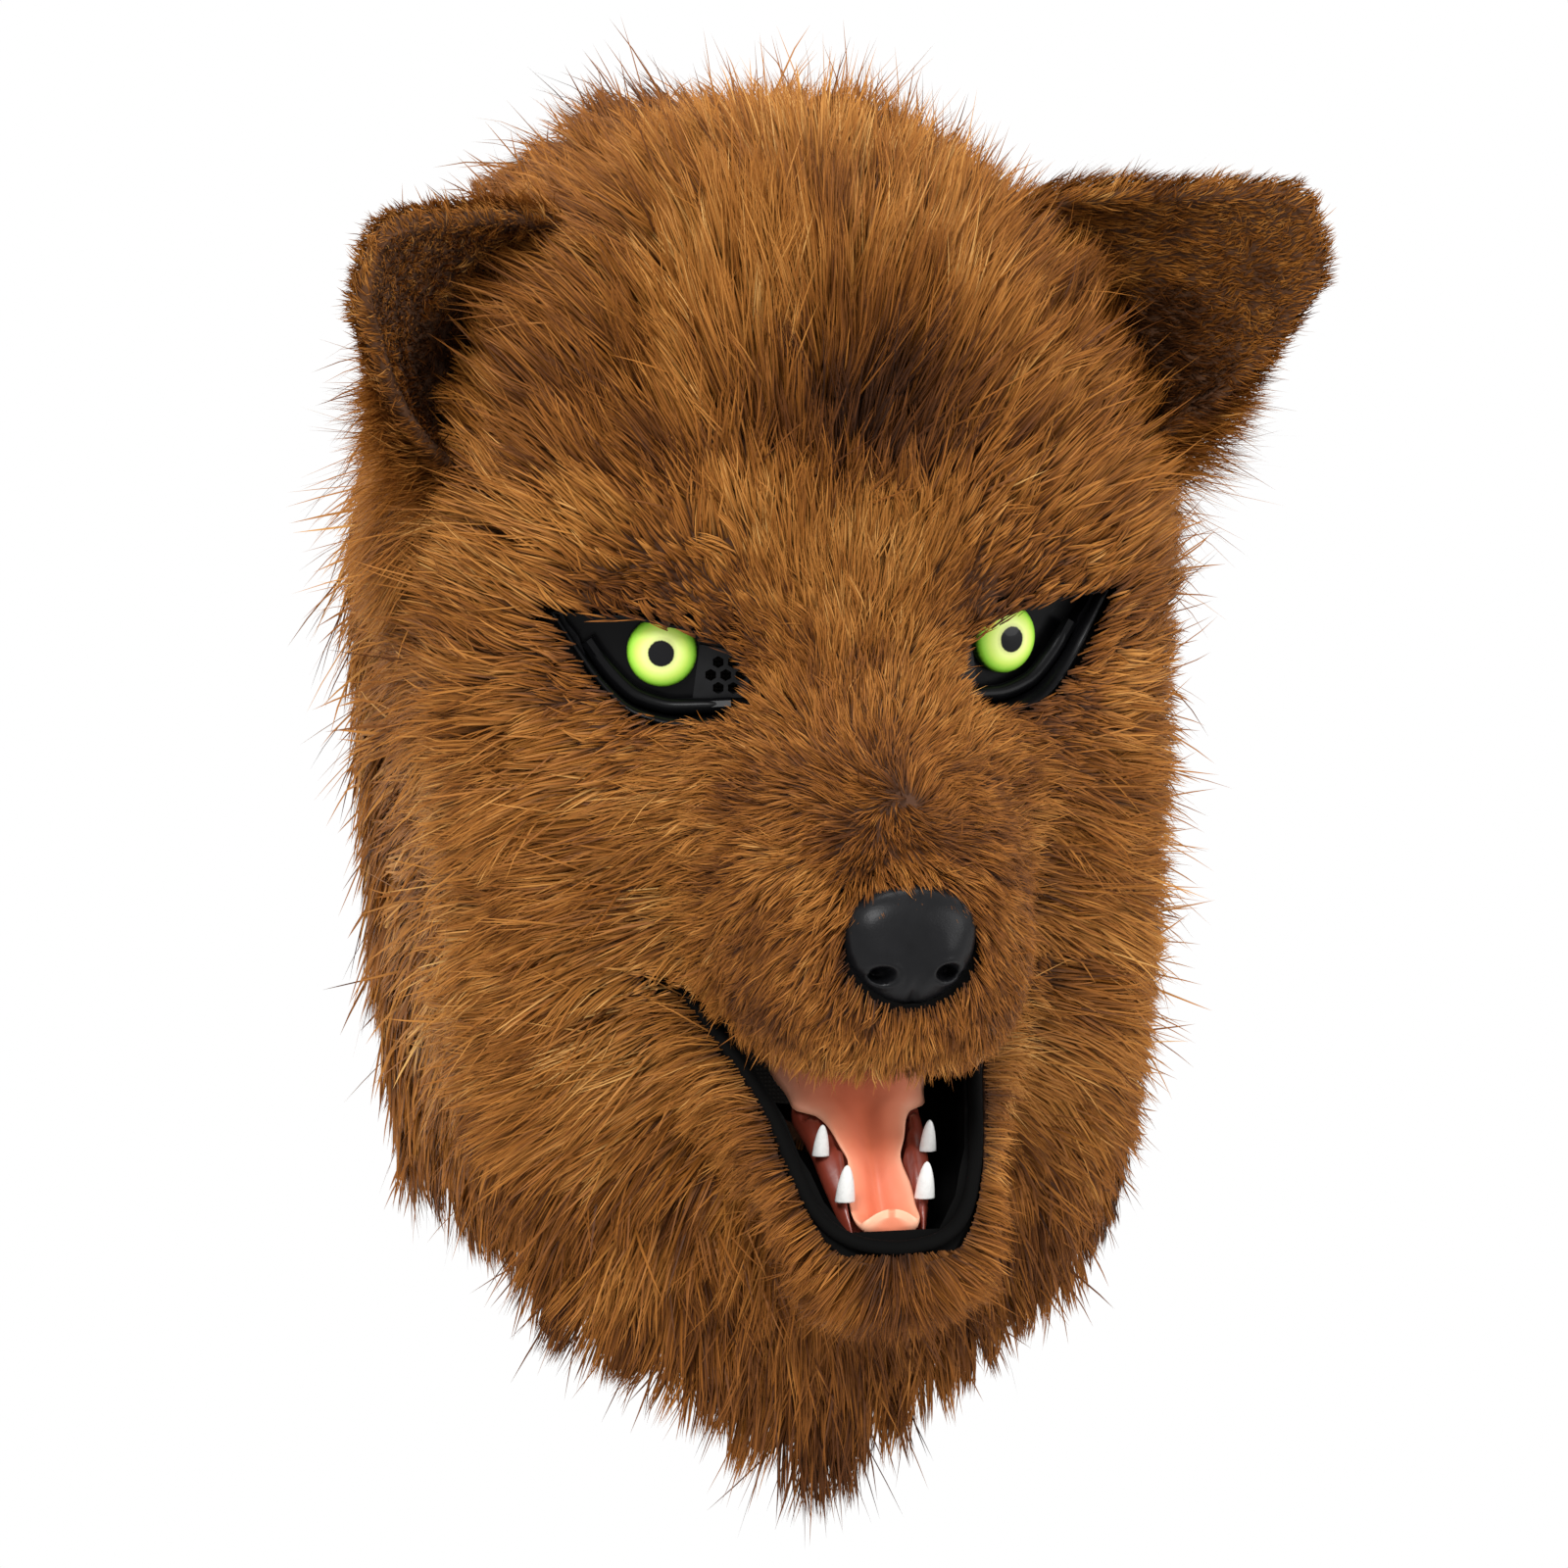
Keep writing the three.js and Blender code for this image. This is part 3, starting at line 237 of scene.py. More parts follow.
def closed_piece(name, grid, material, uv=None, replaces=()):
    """A piece whose skin is a grid of rings, closed at both ends."""
    points, quads, fans = closed_skin(grid)
    if signed_volume(points, quads, fans) < 0:
        quads, fans = quads[:, ::-1], fans[:, ::-1]
    if uv is not None:
        uv = np.concatenate([uv.reshape(-1, 2), uv[:1].mean(1), uv[-1:].mean(1)])
    mesh_piece(name, points, quads, fans, material, uv, replaces)


# %% [markdown]
# ## Writing shaders as sums
# A material is a tree of nodes, which could be wired by hand in the editor. Here `Wire` wraps
# one output socket, so that `mask - 0.5` or `noise * 0.3 + 0.5` add Math nodes by themselves,
# and a finish reads like its formula. Every other node comes from `Finish.add`, which sets
# the node up first and then links its sockets.

# %% Shader tools
class Wire:
    """One output socket, with the signs of arithmetic."""

    def __init__(self, finish, socket):
        self.finish, self.socket = finish, socket

    def math(self, operation, a, b):
        return self.finish.add("ShaderNodeMath", {"operation": operation}, {0: a, 1: b})

    def __add__(self, other):
        return self.math("ADD", self, other)

    __radd__ = __add__

    def __sub__(self, other):
        return self.math("SUBTRACT", self, other)

    def __mul__(self, other):
        return self.math("MULTIPLY", self, other)

    def __pow__(self, other):
        return self.math("POWER", self, other)


class Finish:
    """A material in the making."""

    def __init__(self, name):
        self.material = bpy.data.materials.new(name)
        self.material.use_nodes = True
        self.tree = self.material.node_tree
        self.tree.nodes.clear()

    def add(self, kind, settings=None, sockets=None, out=0):
        """Makes a node, sets it up, links or fills its sockets, and wraps one output."""
        node = self.tree.nodes.new(kind)
        for key, value in (settings or {}).items():
            if key == "stops":
                ramp = node.color_ramp
                while len(ramp.elements) < len(value):
                    ramp.elements.new(0.5)
                for element, (place, colour) in zip(ramp.elements, value):
                    element.position = place
                    element.color = (*colour, 1)
            else:
                setattr(node, key, value)
        for key, value in (sockets or {}).items():
            if isinstance(value, Wire):
                self.tree.links.new(value.socket, node.inputs[key])
            else:
                node.inputs[key].default_value = value
        return Wire(self, node.outputs[out]) if len(node.outputs) else node

    def strand(self):
        """The UV map and its two numbers: on fur, a strand's shade and the place along it."""
        uv = self.add("ShaderNodeUVMap", {"uv_map": "strand"})
        apart = self.tree.nodes.new("ShaderNodeSeparateXYZ")
        self.tree.links.new(uv.socket, apart.inputs[0])
        return uv, Wire(self, apart.outputs[0]), Wire(self, apart.outputs[1])

    def noise(self, scale, detail=3.0, vector=None):
        """Noise over the object's own coordinates, or over another vector."""
        vector = vector or self.add("ShaderNodeTexCoord", out="Object")
        sockets = {"Vector": vector, "Scale": scale, "Detail": detail, "Roughness": 0.55}
        return self.add("ShaderNodeTexNoise", None, sockets)

    def scaled(self, vector, factors):
        return self.add("ShaderNodeVectorMath", {"operation": "MULTIPLY"}, {0: vector, 1: factors})

    def ramp(self, factor, stops):
        return self.add("ShaderNodeValToRGB", {"stops": stops}, {0: factor})

    def mix(self, factor, a, b, blend="MIX"):
        settings = {"data_type": "RGBA", "blend_type": blend}
        a = a if isinstance(a, Wire) else (*a, 1)
        b = b if isinstance(b, Wire) else (*b, 1)
        return self.add("ShaderNodeMix", settings, {0: factor, 6: a, 7: b}, out=2)

    def surface(self, colour, roughness, bump=None, specular=0.5, **levels):
        """Bump is height, strength and distance. Other levels, as in coat_weight=1, are sockets."""
        sockets = {key.replace("_", " ").title(): level for key, level in levels.items()}
        sockets |= {"Base Color": colour, "Roughness": roughness, "Specular IOR Level": specular}
        if bump:
            raised = dict(zip(("Height", "Strength", "Distance"), bump))
            sockets["Normal"] = self.add("ShaderNodeBump", None, raised)
        shader = self.add("ShaderNodeBsdfPrincipled", None, sockets)
        self.add("ShaderNodeOutputMaterial", None, {"Surface": shader})
        return self.material


# %% [markdown]
# ## The fur's colour
# Each strand carries two numbers in its UV map: u is its shade, and v runs from its root to
# its tip. Real fur cloth has darker roots and sun-bleached tips, so the colour is a ramp over
# u, dimmed at the root by v; that dimming also paints the shade deep in the pile. Streaks
# along a strand come from noise that is stretched along v.

# %% Fur finish
FUR_SHADES = (
    (0.0, (0.022, 0.0065, 0.0014)),
    (0.25, (0.1, 0.03, 0.005)),
    (0.5, (0.27, 0.092, 0.014)),
    (0.75, (0.44, 0.18, 0.036)),
    (1.0, (0.7, 0.4, 0.13)),
)


def fur_finish(name, root_dim, roughness):
    f = Finish(name)
    uv, shade, along = f.strand()
    streak = f.noise(1.0, vector=f.scaled(uv, (210.0, 2.5, 1.0)))
    colour = f.ramp(shade + (streak - 0.5) * 0.16 + (along - 0.5) * 0.1, FUR_SHADES)
    # Dark roots, with painted shade deep in the pile: strands are dimmed towards the root.
    depth = f.ramp(along, ((0.0, (root_dim,) * 3), (0.45, (0.85,) * 3), (1.0, (1.0,) * 3)))
    colour = f.mix(1.0, colour, depth, "MULTIPLY")
    return f.surface(colour, roughness + (streak - 0.5) * 0.2, specular=0.12)


long_fur = fur_finish("long brown fur", 0.3, 0.5)
short_fur = fur_finish("short muzzle fur", 0.4, 0.55)
ear_pile = fur_finish("ear pile", 0.55, 0.6)


def cloth_finish(name, dark, light):
    """The knitted ground that the pile grows from."""
    f = Finish(name)
    patches, fibres = f.noise(60.0), f.noise(900.0, 2.0)
    colour = f.mix(patches * 0.6 + fibres * 0.4, dark, light)
    return f.surface(colour, 0.9 + fibres * 0.1, (fibres, 0.5, 0.0006))


# The fur ground's dark browns are the cloth's and also painted shade for the depth of the pile.
pelt_cloth = cloth_finish("fur ground", (0.03, 0.0095, 0.002), (0.085, 0.028, 0.006))
velour = cloth_finish("ear velour", (0.045, 0.015, 0.0035), (0.1, 0.036, 0.008))
print("fur finishes:", long_fur.name, short_fur.name, ear_pile.name, sep=", ")

# %% [markdown]
# ## The head form
# A cross section is a rounded box whose corners may be soft or full: x follows a cosine and
# z a sine, each raised to a power. Brows, cheeks and eye hollows are soft hills and dips
# pushed along the normal. The pile's ground lies on this form, half way up the pile.

# %% Head form
EYE_OUT, EYE_FRONT, EYE_DOWN = 51.0, 96.0, 118.0
HEAD_SPAN = 1.623  # from the first to the last row of HEAD_ROWS
HILLS = (
    # x, y, z, radius, rise
    (40.0, -98.0, -88.0, 17.0, 4.0),
    (70.0, -84.0, -98.0, 16.0, 3.0),
    (58.0, -94.0, -152.0, 20.0, 3.0),
    (51.0, -96.0, -119.0, 15.0, -3.5),
    (22.0, -146.0, -196.0, 13.0, 2.2),
)


def section(y, turn, half, wide, top, low, round_top, round_low):
    """x = half * cos^p, z = wide + reach * sin^p, with p = 2 / roundness of that side."""
    c, s = np.cos(turn), np.sin(turn)
    power = 2 / np.where(s >= 0, round_top, round_low)
    reach = np.where(s >= 0, top - wide, wide - low)
    x = half * HEAD_HALF * signed_power(c, power)
    z = (wide + reach * signed_power(s, power)) * HEAD_DROP
    return np.stack([x, y * SNOUT_REACH + 0 * turn, z], -1)


def head_skin(y, turn):
    columns = ("half", "wide", "top", "low", "round_top", "round_low")
    return section(y, turn, *(head_at[name](y) for name in columns))


def grid_normals(grid, joined=True):
    """The cross product of the two directions of the grid, at every point."""
    along, across = np.gradient(grid, axis=0), np.gradient(grid, axis=1)
    if joined:
        across[:, 0] = across[:, -1] = (grid[:, 1] - grid[:, -2]) / 2
    return unit(np.cross(along, across))


def lifted_skin(rows, columns, share):
    """The head form moved out by the wall and a share of the pile, with hills and dips."""
    y = -1 + HEAD_SPAN * (0.5 - 0.5 * np.cos(np.linspace(0, math.pi, rows)[:, None])) ** 0.92
    turn = np.linspace(-math.pi / 2, 1.5 * math.pi, columns)[None, :]
    grid = head_skin(np.broadcast_to(y, (rows, columns)), np.broadcast_to(turn, (rows, columns)))
    grid = grid + grid_normals(grid) * (WALL + share * PILE * head_at["pile"](y))[..., None]
    out = grid_normals(grid)
    rise = np.zeros((rows, columns))
    for x0, y0, z0, radius, height in HILLS:
        for side in (-1, 1):
            away = ((grid - (side * x0, y0, z0)) ** 2).sum(-1)
            rise += height * np.exp(-away / (2 * radius**2))
    grid = grid + out * rise[..., None]
    return grid, grid_normals(grid)


skin, skin_out = lifted_skin(260, 340, 0.5)
waist, waist_out = skin[130], skin_out[130]
if (waist_out * (waist - waist.mean(0))).sum() < 0:
    skin_out = -skin_out
print("head skin", skin.shape[:2], "from", skin.min((0, 1)).round(), "to", skin.max((0, 1)).round())

# %% [markdown]
# ## Where fur may grow
# Fur stops at the hem, at the mouth, round the nose and in the two eye openings. Each is a
# yes or no question asked of whole arrays of points at once. The eye opening is an outline,
# and a point is inside when a ray from it crosses the outline an odd number of times.

# %% Openings in the fur
EYE_REACH, EYE_TURN = 28.2, math.radians(18)
NOSE_WIDTH, NOSE_HEIGHT, NOSE_DEPTH, NOSE_DOWN = 40.6, 35.5, 17.0, 192.0
MOUTH_HALF = 0.575 * HEAD_HALF
EYE_MARGIN, HEM_MARGIN, JAW_MARGIN = 1.2, 1.0, 7.0
SEAM_Y, SEAM_Z, MUZZLE_Y, FAR = -0.17 * SNOUT_REACH, -0.9 * HEAD_DROP, -112.0, 999.0
ZONES = {
    # y from, y to, z from, z to
    "face": (-FAR, SEAM_Y, SEAM_Z, FAR),
    "bib": (-FAR, SEAM_Y, -FAR, SEAM_Z),
    "hood": (SEAM_Y, FAR, -FAR, FAR),
    "brow": (MUZZLE_Y, SEAM_Y, -128.0, FAR),
    "cheek": (MUZZLE_Y, SEAM_Y, SEAM_Z, -128.0),
    "muzzle": (-FAR, MUZZLE_Y, SEAM_Z, FAR),
    "crown": (SEAM_Y, FAR, -75.0, FAR),
    "back": (SEAM_Y, FAR, -FAR, -75.0),
}
EYE_OPENING = np.array(
    (
        (1.0, 0.38), (0.66, 0.37), (0.34, 0.35), (0.0, 0.29), (-0.33, 0.22), (-0.56, 0.14),
        (-0.81, -0.03), (-0.92, -0.32), (-0.73, -0.59), (-0.53, -0.6), (-0.15, -0.61),
        (0.23, -0.52), (0.54, -0.26), (0.78, 0.06),
    )
)


def in_zone(points, zone):
    y_from, y_to, z_from, z_to = ZONES[zone]
    y, z = points[..., 1], points[..., 2]
    return (y >= y_from) & (y < y_to) & (z > z_from) & (z <= z_to)


def eye_axes(side):
    """Outward, up and front of an eye, one row each."""
    c, s = math.cos(EYE_TURN), math.sin(EYE_TURN)
    return np.array(((side * c, s, 0), (0, 0, 1), (side * s, -c, 0)))


def eye_middle(side):
    return np.array((side * EYE_OUT, -EYE_FRONT, -EYE_DOWN))


def eye_distance(points):
    """How far each point is from the middle of the nearer eye."""
    return np.min([np.linalg.norm(points - eye_middle(side), axis=1) for side in (-1, 1)], 0)


def in_eye(points, grow=0.0):
    """Inside either eye opening, seen from that eye's front."""
    found = np.zeros(points.shape[:-1], bool)
    middle = EYE_OPENING.mean(0)
    outline = (middle + (EYE_OPENING - middle) * (1 + grow / 14)) * EYE_REACH
    for side in (-1, 1):
        local = (points - eye_middle(side)) @ eye_axes(side).T
        crossings = np.zeros(points.shape[:-1], int)
        for (x0, y0), (x1, y1) in zip(outline, np.roll(outline, -1, 0)):
            spans = (y0 > local[..., 1]) != (y1 > local[..., 1])
            cross_x = x0 + (local[..., 1] - y0) * (x1 - x0) / (y1 - y0 + 1e-9)
            crossings += spans & (local[..., 0] < cross_x)
        found |= (crossings % 2 == 1) & (np.abs(local[..., 2]) < 32)
    return found


def hem_height(points):
    """The cut edge of the fur cloth: level at the sides and back, pointed in front."""
    drop = BIB_DROP * np.clip(1 - np.abs(points[..., 0]) / HEAD_HALF, 0, 1)
    return -HEAD_DROP - np.where(points[..., 1] < 0, drop, 0)


def in_mouth(points, grow=0.0):
    """Between the upper lip and the rim of the jaw."""
    y = points[..., 1] / SNOUT_REACH
    below_lip = points[..., 2] < lip_at(y) * HEAD_DROP + grow
    rim = jaw_at["rim"](y) * HEAD_DROP
    in_front = (y < MOUTH_BACK + grow / SNOUT_REACH) & (np.abs(points[..., 0]) < MOUTH_HALF + grow)
    return in_front & below_lip & (points[..., 2] > rim - 2 * JAW_PILE)


def in_nose(points, grow=0.0):
    """Inside the oval that the nose covers."""
    x = points[..., 0] / (0.5 * NOSE_WIDTH + grow)
    z = (points[..., 2] + NOSE_DOWN) / (0.5 * NOSE_HEIGHT + grow)
    return (x * x + z * z < 0.92) & (points[..., 1] < -0.9 * SNOUT_REACH)


def in_jaw(points):
    """Where the jaw joins the head, its own fur takes over."""
    y = points[..., 1] / SNOUT_REACH
    half = jaw_at["half"](y) * HEAD_HALF
    rim, low = jaw_at["rim"](y) * HEAD_DROP, jaw_at["low"](y) * HEAD_DROP
    inside = (np.abs(points[..., 0]) < 0.9 * half) & (points[..., 2] < rim)
    return inside & (points[..., 2] > low + JAW_MARGIN) & (y < -0.5)


def grows(points, grow=0.0):
    """Where fur grows. The bare openings may be grown by a margin in mm."""
    bare = in_eye(points, grow + EYE_MARGIN) | in_mouth(points, grow) | in_nose(points, grow)
    return ~(bare | in_jaw(points)) & (points[..., 2] > hem_height(points) + HEM_MARGIN)


print("fur grows on", round(100 * float(grows(skin).mean())), "percent of the skin grid")

# %% [markdown]
# ## Combing the fur
# A groomer thinks in zones: short on the muzzle, swept up and out on the brow, standing on
# the crown, hanging on the neck. Each layer below names how much it counts at a point and
# what it asks for. Later layers are painted over earlier ones, so zones blend smoothly.

# %% Comb
WHORL = np.array((0.0, -150.0, -158.0))  # fur spreads from here over the muzzle
BRIDGE = np.array((0.0, -118.0, -140.0))
PARTING = np.array((0.0, -104.0, -64.0))


def comb(points):
    """Length, lift and droop of the fur, and the way that it is brushed, at each point."""
    x, y, z = points.T
    side = np.clip(x / 16, -1, 1)
    wide = np.abs(x)
    one = np.ones_like(x)
    spread = unit((points - BRIDGE) * (1, 0.2, 1))
    ring = unit(points - WHORL + 7 * np.stack([ripple(points, 26, 21 + k) for k in range(3)], -1))
    front = -y
    brow = step(z, -150, -116) * step(front, 30, 62)
    high = step(z, -72, -46)
    forelock = high * (1 - step(wide, 22, 46)) * step(front, 40, 70)
    muzzle = step(front, 100, 136)
    neck = 1 - step(z, -286, -232)
    rear, over = step(y, -10, 50), step(y, -50, 20)
    high_length = 27 + 9 * (1 - step(wide, 30, 60))
    neck_length = 27 - 9 * np.clip(x / 80, -0.3, 1) + 10 * (1 - step(wide, 8, 40))

    def near(middle, radius):
        return np.exp(-((np.stack([wide, y, z], -1) - middle) ** 2).sum(-1) / (2 * radius**2))

    layers = (
        # how much, length, lift, droop, way
        (one, 30, 0.2, 0.12, (side, 0.45 * one, -0.25 - 0.25 * step(-z, 170, 230))),
        (brow, 25, 0.4, 0.0, (spread[:, 0], 0.35 * one, spread[:, 2] + 0.1)),
        (high, high_length, 0.75, 0.1, (0.35 * side, 0.35 + 0.9 * over, 0.75 - 0.7 * over)),
        (forelock, 46, 0.72, -0.1, (0.25 * side, 0.1 * one, one)),
        (neck, neck_length, 0.24, 0.3, (side * 0.35 * step(wide, 5, 70), -0.05 * one, -one)),
        (muzzle, 9.5, 0.34, 0.0, (ring[:, 0], ring[:, 1] + 0.45, ring[:, 2] - 0.05)),
        (rear * (1 - 0.4 * high), 32, 0.16, 0.25, (0.1 * side, 0.15 * one, -one)),
        (near((92, -40, -76), 24), 42, 0.85, 0.0, (side, 0.15 * one, -0.3 * one)),
        (near((64, -62, -26), 20), 42, 0.7, 0.0, (0.8 * side, -0.1 * one, 0.55 * one)),
    )
    asked = np.zeros((len(points), 6))
    for amount, length, lift, droop, way in layers:
        wish = np.stack([length * one, lift * one, droop * one, *(w * one for w in way)], -1)
        asked += (wish - asked) * amount[:, None]
    eye = eye_distance(points)
    asked[:, 0] *= 0.3 + 0.7 * step(eye, 26, 52)
    asked[:, 1] *= 0.75 + 0.25 * step(eye, 24, 44)
    above_lip = z - lip_at(y / SNOUT_REACH) * HEAD_DROP
    corner = step(front, 60, 76) * (1 - step(front, 108, 128)) * (1 - step(wide, 55, 69))
    asked[:, 0] *= 1 - 0.66 * corner * (1 - step(np.abs(above_lip), 4, 26))
    asked[:, 0] *= 1 - 0.75 * corner * (1 - step(np.abs(above_lip), 2, 12))
    low_cheek = step(wide, 70, 92) * step(-z, 140, 190)
    asked[:, 0] *= 1 - 0.25 * low_cheek
    asked[:, 1] *= 1 - 0.55 * low_cheek
    return asked[:, 0], asked[:, 1], asked[:, 2], asked[:, 3:]


def shade_of(points):
    """Golden on the forelock, dark in the parting and round the eyes, and painted shade on the neck
    below the head and jaw.
    """
    x, y, z = points.T
    wide, front = np.abs(x), -y
    forelock = step(z, -66, -30) * (1 - step(wide, 26, 60)) * step(front, 20, 70)
    parting = np.exp(-(((points - PARTING) / (34, 30, 13)) ** 2).sum(-1))
    eye = eye_distance(points)
    shade = 0.55 + 0.14 * forelock - 0.34 * parting
    shade -= 0.12 * step(z, -90, -50) + 0.11 * step(front, 112, 138)
    shade -= 0.16 * (1 - step(eye, 20, 42))
    # Painted shade: all fur low on the neck, under the head and jaw, is darkened.
    shade -= 0.23 * (1 - step(z, -300, -232))
    shade += 0.07 * ripple(points, 60, 3) + 0.05 * ripple(points, 26, 4)
    shade += 0.1 * step(z, -90, -50) * ripple(points, 10, 5)
    return shade


nape = np.array([(0.0, 110.0, -150.0)])
print("at the nape: length, lift and droop", *(float(w[0].round(2)) for w in comb(nape)[:3]))

# %% [markdown]
# ## Growing strands
# Blender has a hair system, but a mesh of thin ribbons exports anywhere, and numpy makes
# hundreds of thousands of them in a second. Roots are spread by area. Neighbours share a
# lock, and each strand's tip is drawn towards the tip of its lock, which is what makes fur
# look brushed instead of like grass.

# %% Strand maker
THIN = 1
TURNED = np.array(((0.8, 0.6, 0), (-0.48, 0.64, 0.6), (0.36, -0.48, 0.8)))
LARGE_PRIMES = np.array((73856093, 19349663, 83492791))


def scatter(grid, out, allowed, count):
    """Cells are picked in proportion to their area, then a point inside each is picked."""
    a, b, c, d = grid[:-1, :-1], grid[:-1, 1:], grid[1:, 1:], grid[1:, :-1]
    area = np.linalg.norm(np.cross(c - a, d - b), axis=-1) / 2 * allowed
    running = np.cumsum(area.ravel())
    aim = (np.arange(count) + rng.random(count)) / count * running[-1]
    pick = np.clip(np.searchsorted(running, aim), 0, area.size - 1)
    i, j = np.unravel_index(pick, area.shape)
    s, t = rng.random((2, count, 1))

    def blend(values):
        top = values[i, j] * (1 - t) + values[i, j + 1] * t
        low = values[i + 1, j] * (1 - t) + values[i + 1, j + 1] * t
        return top * (1 - s) + low * s

    return blend(grid), unit(blend(out))


def locks(points, size, seed):
    """The lock that each root belongs to: cells of a warped lattice."""
    warp = np.stack([ripple(points, 5 * size, seed + k) for k in range(3)], -1)
    cell = np.floor((points @ TURNED) / size + 0.9 * warp).astype(np.int64)
    return np.unique(cell @ LARGE_PRIMES, return_inverse=True)[1].reshape(-1)


def mean_of(groups, values):
    """The mean of values within each group, given back to each member."""
    count = np.bincount(groups)
    sums = np.stack([np.bincount(groups, values[:, k]) for k in range(values.shape[1])], -1)
    return (sums / count[:, None])[groups]


print("one strand in", THIN, "is made; locks on the skin:", locks(skin.reshape(-1, 3), 5.0, 40).max())

# %% [markdown]
# ## Ribbons
# A strand is a flat ribbon that leaves its root one way and ends another, so it bows like
# real hair. Tubes would need three times the triangles, and nobody sees that a strand has no
# thickness. Each ribbon tapers to a point.

# %% Ribbons
RIBBONS = {  # places along a ribbon and its width there, by its number of parts
    3: ((0, 0.4, 0.74, 1.0), (0.85, 1.0, 0.62, 0)),
    2: ((0, 0.55, 1.0), (0.9, 0.8, 0)),
}


def ribbons(name, roots, first, last, length, width, out, shade, gather, material, slot, parts):
    """P(t) = root + length * (t * first + t^2 / 2 * (last - first)) + t^1.6 * gather."""
    count = len(roots)
    t, taper = np.array(RIBBONS[parts])
    t1 = t[None, :, None]
    run = length[:, None, None] * (t1 * first[:, None] + t1**2 / 2 * (last - first)[:, None])
    line = roots[:, None] + run + t1**1.6 * gather[:, None]
    across = unit(np.cross(first + last, out))
    twist = rng.normal(0, 0.55, (count, 1))
    across = across * np.cos(twist) + out * np.sin(twist)
    half = across[:, None] * (width[:, None] * taper / 2)[..., None]
    edges = np.stack([line - half, line + half], 2)[:, :-1].reshape(count, -1, 3)
    points = np.concatenate([edges, line[:, -1:]], 1)
    each = points.shape[1]
    base = (np.arange(count) * each)[:, None, None]
    quads = np.array([[2 * k, 2 * k + 1, 2 * k + 3, 2 * k + 2] for k in range(parts - 1)])
    tips = np.array([[2 * parts - 2, 2 * parts - 1, 2 * parts]])
    shade = np.clip(shade, 0.02, 0.98)[:, None]
    u = np.concatenate([np.repeat(shade, each - 1, 1) + np.tile((-0.004, 0.004), parts), shade], 1)
    v = np.broadcast_to(np.append(np.repeat(t[:-1], 2), 1.0), u.shape)
    uv = np.stack([u, v], -1).reshape(-1, 2)
    quads, tips = (base + quads).reshape(-1, 4), (base + tips).reshape(-1, 3)
    mesh_piece(name, points.reshape(-1, 3), quads, tips, material, uv)


print("triangles in one ribbon:", {parts: 2 * parts - 1 for parts in RIBBONS})

# %% [markdown]
# ## Brushing and gathering
# Each root takes its length, lift and way from the comb, with a little chance of its own and
# more that its whole lock shares. One strand in fourteen is loose: longer, and not gathered.
# Without these loose ones the fur would look like felt.

# %% Brushing and gathering
TOP_LIMIT = 54  # no strand rises above this height
LOOSE_SHARE = 0.07


def grow_fur(name, roots, out, wishes, shade, width, material, slot, parts=3, lock=5.0, hold=0.55):
    """Brushes strands at their roots by the wishes of the comb, and gathers them in locks."""
    length, lift, droop, way = wishes
    count = len(roots)
    small, large = locks(roots, lock, 40), locks(roots, 3.4 * lock, 50)
    chance = np.random.default_rng(len(name))
    lock_turn = chance.normal(0, 0.2, (small.max() + 1, 3))[small]
    lock_turn += chance.normal(0, 0.16, (large.max() + 1, 3))[large]
    lock_long = chance.uniform(0.82, 1.12, large.max() + 1)[large]
    lock_shade = chance.normal(0, 0.06, small.max() + 1)[small]
    lock_shade += chance.normal(0, 0.05, large.max() + 1)[large]
    lock_turn -= 0.6 * (lock_turn * out).sum(-1, keepdims=True) * out
    way = unit(way - (way * out).sum(-1, keepdims=True) * out)
    loose = rng.random(count) < LOOSE_SHARE
    long = length * lock_long * rng.uniform(0.72, 1.08, count) * np.where(loose, 1.18, 1)
    rise = (lift * rng.uniform(0.75, 1.3, count) + 0.35 * loose * lift)[:, None]
    own_turn = rng.normal(0, 0.1, (count, 3)) * (1 + 1.6 * loose[:, None])
    first = unit(way + out * rise * 1.5 + 0.6 * lock_turn + own_turn)
    last = unit(way + out * rise * 0.45 + lock_turn + own_turn - droop[:, None] * (0, 0, 1))
    climb = long * (first + last)[:, 2] / 2
    long = long * np.clip((TOP_LIMIT - roots[:, 2]) / np.maximum(climb, 1), 0.3, 1)
    reach = roots + long[:, None] * (first + last) / 2
    gather = (mean_of(small, reach) - reach) * (hold * ~loose)[:, None]
    shade = shade + lock_shade + rng.normal(0, 0.085, count)
    thick = width * rng.uniform(0.7, 1.25, count) * math.sqrt(THIN)
    paths = (roots, first, last, long, thick, out, shade, gather)
    ribbons(name, *paths, material, slot, parts)


def head_fur(zone, count, width, material=long_fur, slot="long_fur", **how):
    """Fur on one zone of the head form."""
    centres = (skin[:-1, :-1] + skin[1:, 1:]) / 2
    allowed = in_zone(centres, zone) & grows(centres)
    roots, out = scatter(skin, skin_out, allowed, count // THIN)
    roots = roots - out * rng.uniform(0, 1.5, (len(roots), 1))
    wishes, shade = comb(roots), shade_of(roots)
    grow_fur(f"{zone}_fur", roots, out, wishes, shade, width, material, slot, **how)


print("loose strands:", round(100 * LOOSE_SHARE), "percent, none higher than", TOP_LIMIT, "mm")

# %% [markdown]
# ## The ground of the fur
# Under the strands lies the cloth that they are woven into. It is the same head form on a
# coarser grid, cut where no fur grows, and the Solidify modifier gives it thickness. It
# closes the view between strands, and its dark brown stands for the cloth and for painted
# shade, so the depth of the pile stays dark.

# %% Fur ground
GROUND_SHARE, GROUND_MARGIN, CLOTH_THICK, JAW_CLOTH_THICK = 0.42, 6.5, 1.4, 1.0
ground = lifted_skin(84, 112, GROUND_SHARE)[0]
ground[:, -1] = ground[:, 0]


